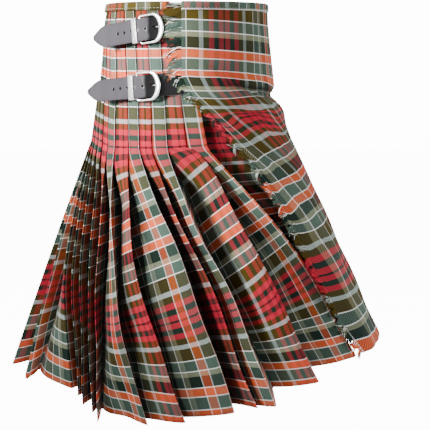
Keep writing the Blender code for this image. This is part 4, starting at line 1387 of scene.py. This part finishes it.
# ---------------------------------------------------------------- studio
@dataclass
class Studio:
    """Pale floor, soft lights and the camera."""

    floor_height: float = -0.95
    floor_glow: float = 13.0
    floor_light: float = 0.05
    distance: float = 1.60
    height: float = -0.0533
    pitch: float = 9.64
    yaw: float = 1.50
    lens: float = 86.15
    room_light: float = 0.08
    backdrop_light: float = 14.0
    mirrored_light: float = 1.5

    def seen_brighter(self, tree: NodeTree, strength: NodeSocket, lights: float,
                      looks: float) -> None:
        """Let a white background look brighter, and mirror brighter in metal, than it lights.

        Args:
            tree: The node tree.
            strength: The socket of the strength.
            lights: The strength that lights the kilt.
            looks: The strength that is seen.
        """
        path = node(tree, "LightPath")
        seen = node(tree, "MapRange", {3: lights, 4: looks}, {0: path.outputs["Is Camera Ray"]})
        mirrored = math_node(tree, "MULTIPLY_ADD", path.outputs["Is Glossy Ray"],
                             self.mirrored_light, seen)
        tree.links.new(mirrored.outputs[0], strength)

    def floor(self) -> None:
        """Lay a plain pale floor."""
        bpy.ops.mesh.primitive_plane_add(size=14, location=(0, 0, self.floor_height))
        ground = bpy.context.object
        ground.name = "floor"
        paint, tree, shader = begin("matt white floor")
        wire(tree, shader, {"Base Color": linear("#F4F4F3"), "Roughness": 0.9,
                            "Emission Color": linear("#FFFFFF")})
        self.seen_brighter(tree, shader.inputs["Emission Strength"], self.floor_light,
                           self.floor_glow)
        ground.data.materials.append(paint)

    def light(self, name: str, place: tuple[float, float, float], power: float, size: float,
              spread: float = 180.0, aim_height: float = -0.3) -> None:
        """Hang a soft box that faces the kilt.

        Args:
            name: The light's name.
            place: Where it hangs.
            power: Watts.
            size: Side of the soft box.
            spread: Degrees that its grid lets through.
            aim_height: Height on the kilt that it points at.
        """
        lamp = bpy.data.lights.new(name, "AREA")
        lamp.energy = power
        lamp.size = size
        lamp.spread = radians(spread)
        thing = add(name, lamp)
        thing.location = place
        aim = Vector((0, 0, aim_height)) - Vector(place)
        thing.rotation_euler = aim.to_track_quat("-Z", "Y").to_euler()

    def camera(self) -> None:
        """Stand the camera off the right hip."""
        lens = bpy.data.cameras.new("camera")
        lens.lens = self.lens
        lens.sensor_width = 36
        eye = add("camera", lens)
        eye.location = (-self.distance, 0, self.height)
        eye.rotation_euler = (radians(90 - self.pitch), 0, radians(-90 - self.yaw))
        bpy.context.scene.camera = eye

    def build(self) -> None:
        """Set the studio up."""
        self.floor()
        self.camera()
        self.light("key", (-1.05, 1.45, 0.35), 11.5, 0.40, 46, 0.02)
        self.light("fill", (-1.75, -0.3, 0.3), 3, 1.0, 120, 0.0)
        self.light("front", (-0.65, -1.75, 0.2), 28, 0.6)
        self.light("back", (1.4, 1.0, 0.5), 24, 1.0)
        world = bpy.data.worlds.new("white room")
        bpy.context.scene.world = world
        world.use_nodes = True
        tree = world.node_tree
        sky = tree.nodes["Background"]
        sky.inputs[0].default_value = linear("#FFFFFF")
        self.seen_brighter(tree, sky.inputs[1], self.room_light, self.backdrop_light)


def main() -> None:
    """Build the studio and dress the kilt."""
    logging.basicConfig(level=logging.INFO, format="%(message)s")
    Studio().build()
    tartan = Tartan().make()
    tufts = Tartan(name="pulled wool threads", weft_only=True).make()
    binding = Tartan(name="tartan binding").make()
    thread = SewingThread().make()
    leather = BridleLeather().make()
    chrome = ChromePlate().make()

    pleats = Pleats()
    pleats.dress(tartan)
    aprons = Aprons(pleats)
    aprons.dress(tartan, tufts)
    fringed, left = APRON_EDGE[0][1], CREASES[-1][0] + 360
    half = CLOTH_WALL / 2 + Waistband.wall

    def over(angle: float) -> float:
        """Lift of the over apron's top edge."""
        return float(aprons.over_lift(0.0, np.array((angle - fringed) / (left - fringed))))

    Waistband("waistband_apron", fringed + 0.4, 176.0, lambda a: over(a) + half - 0.0003,
              lambda a: over(a) - half - 0.0004, 0.0215).dress(binding, thread)
    Waistband("waistband_pleats", -170.0, -10.5, lambda a: 0.0013 + half, lambda a: -0.0142,
              0.0010).dress(binding, thread)
    for strap in (
        Strap("upper", -25.4, 0.0394, 0.145, -0.0009, 0.0008, 0.0735),
        Strap("lower", -25.8, 0.1180, 0.110, 0.0019, 0.0, 0.074),
    ):
        strap.dress(leather, chrome)


if __name__ == "__main__":
    main()
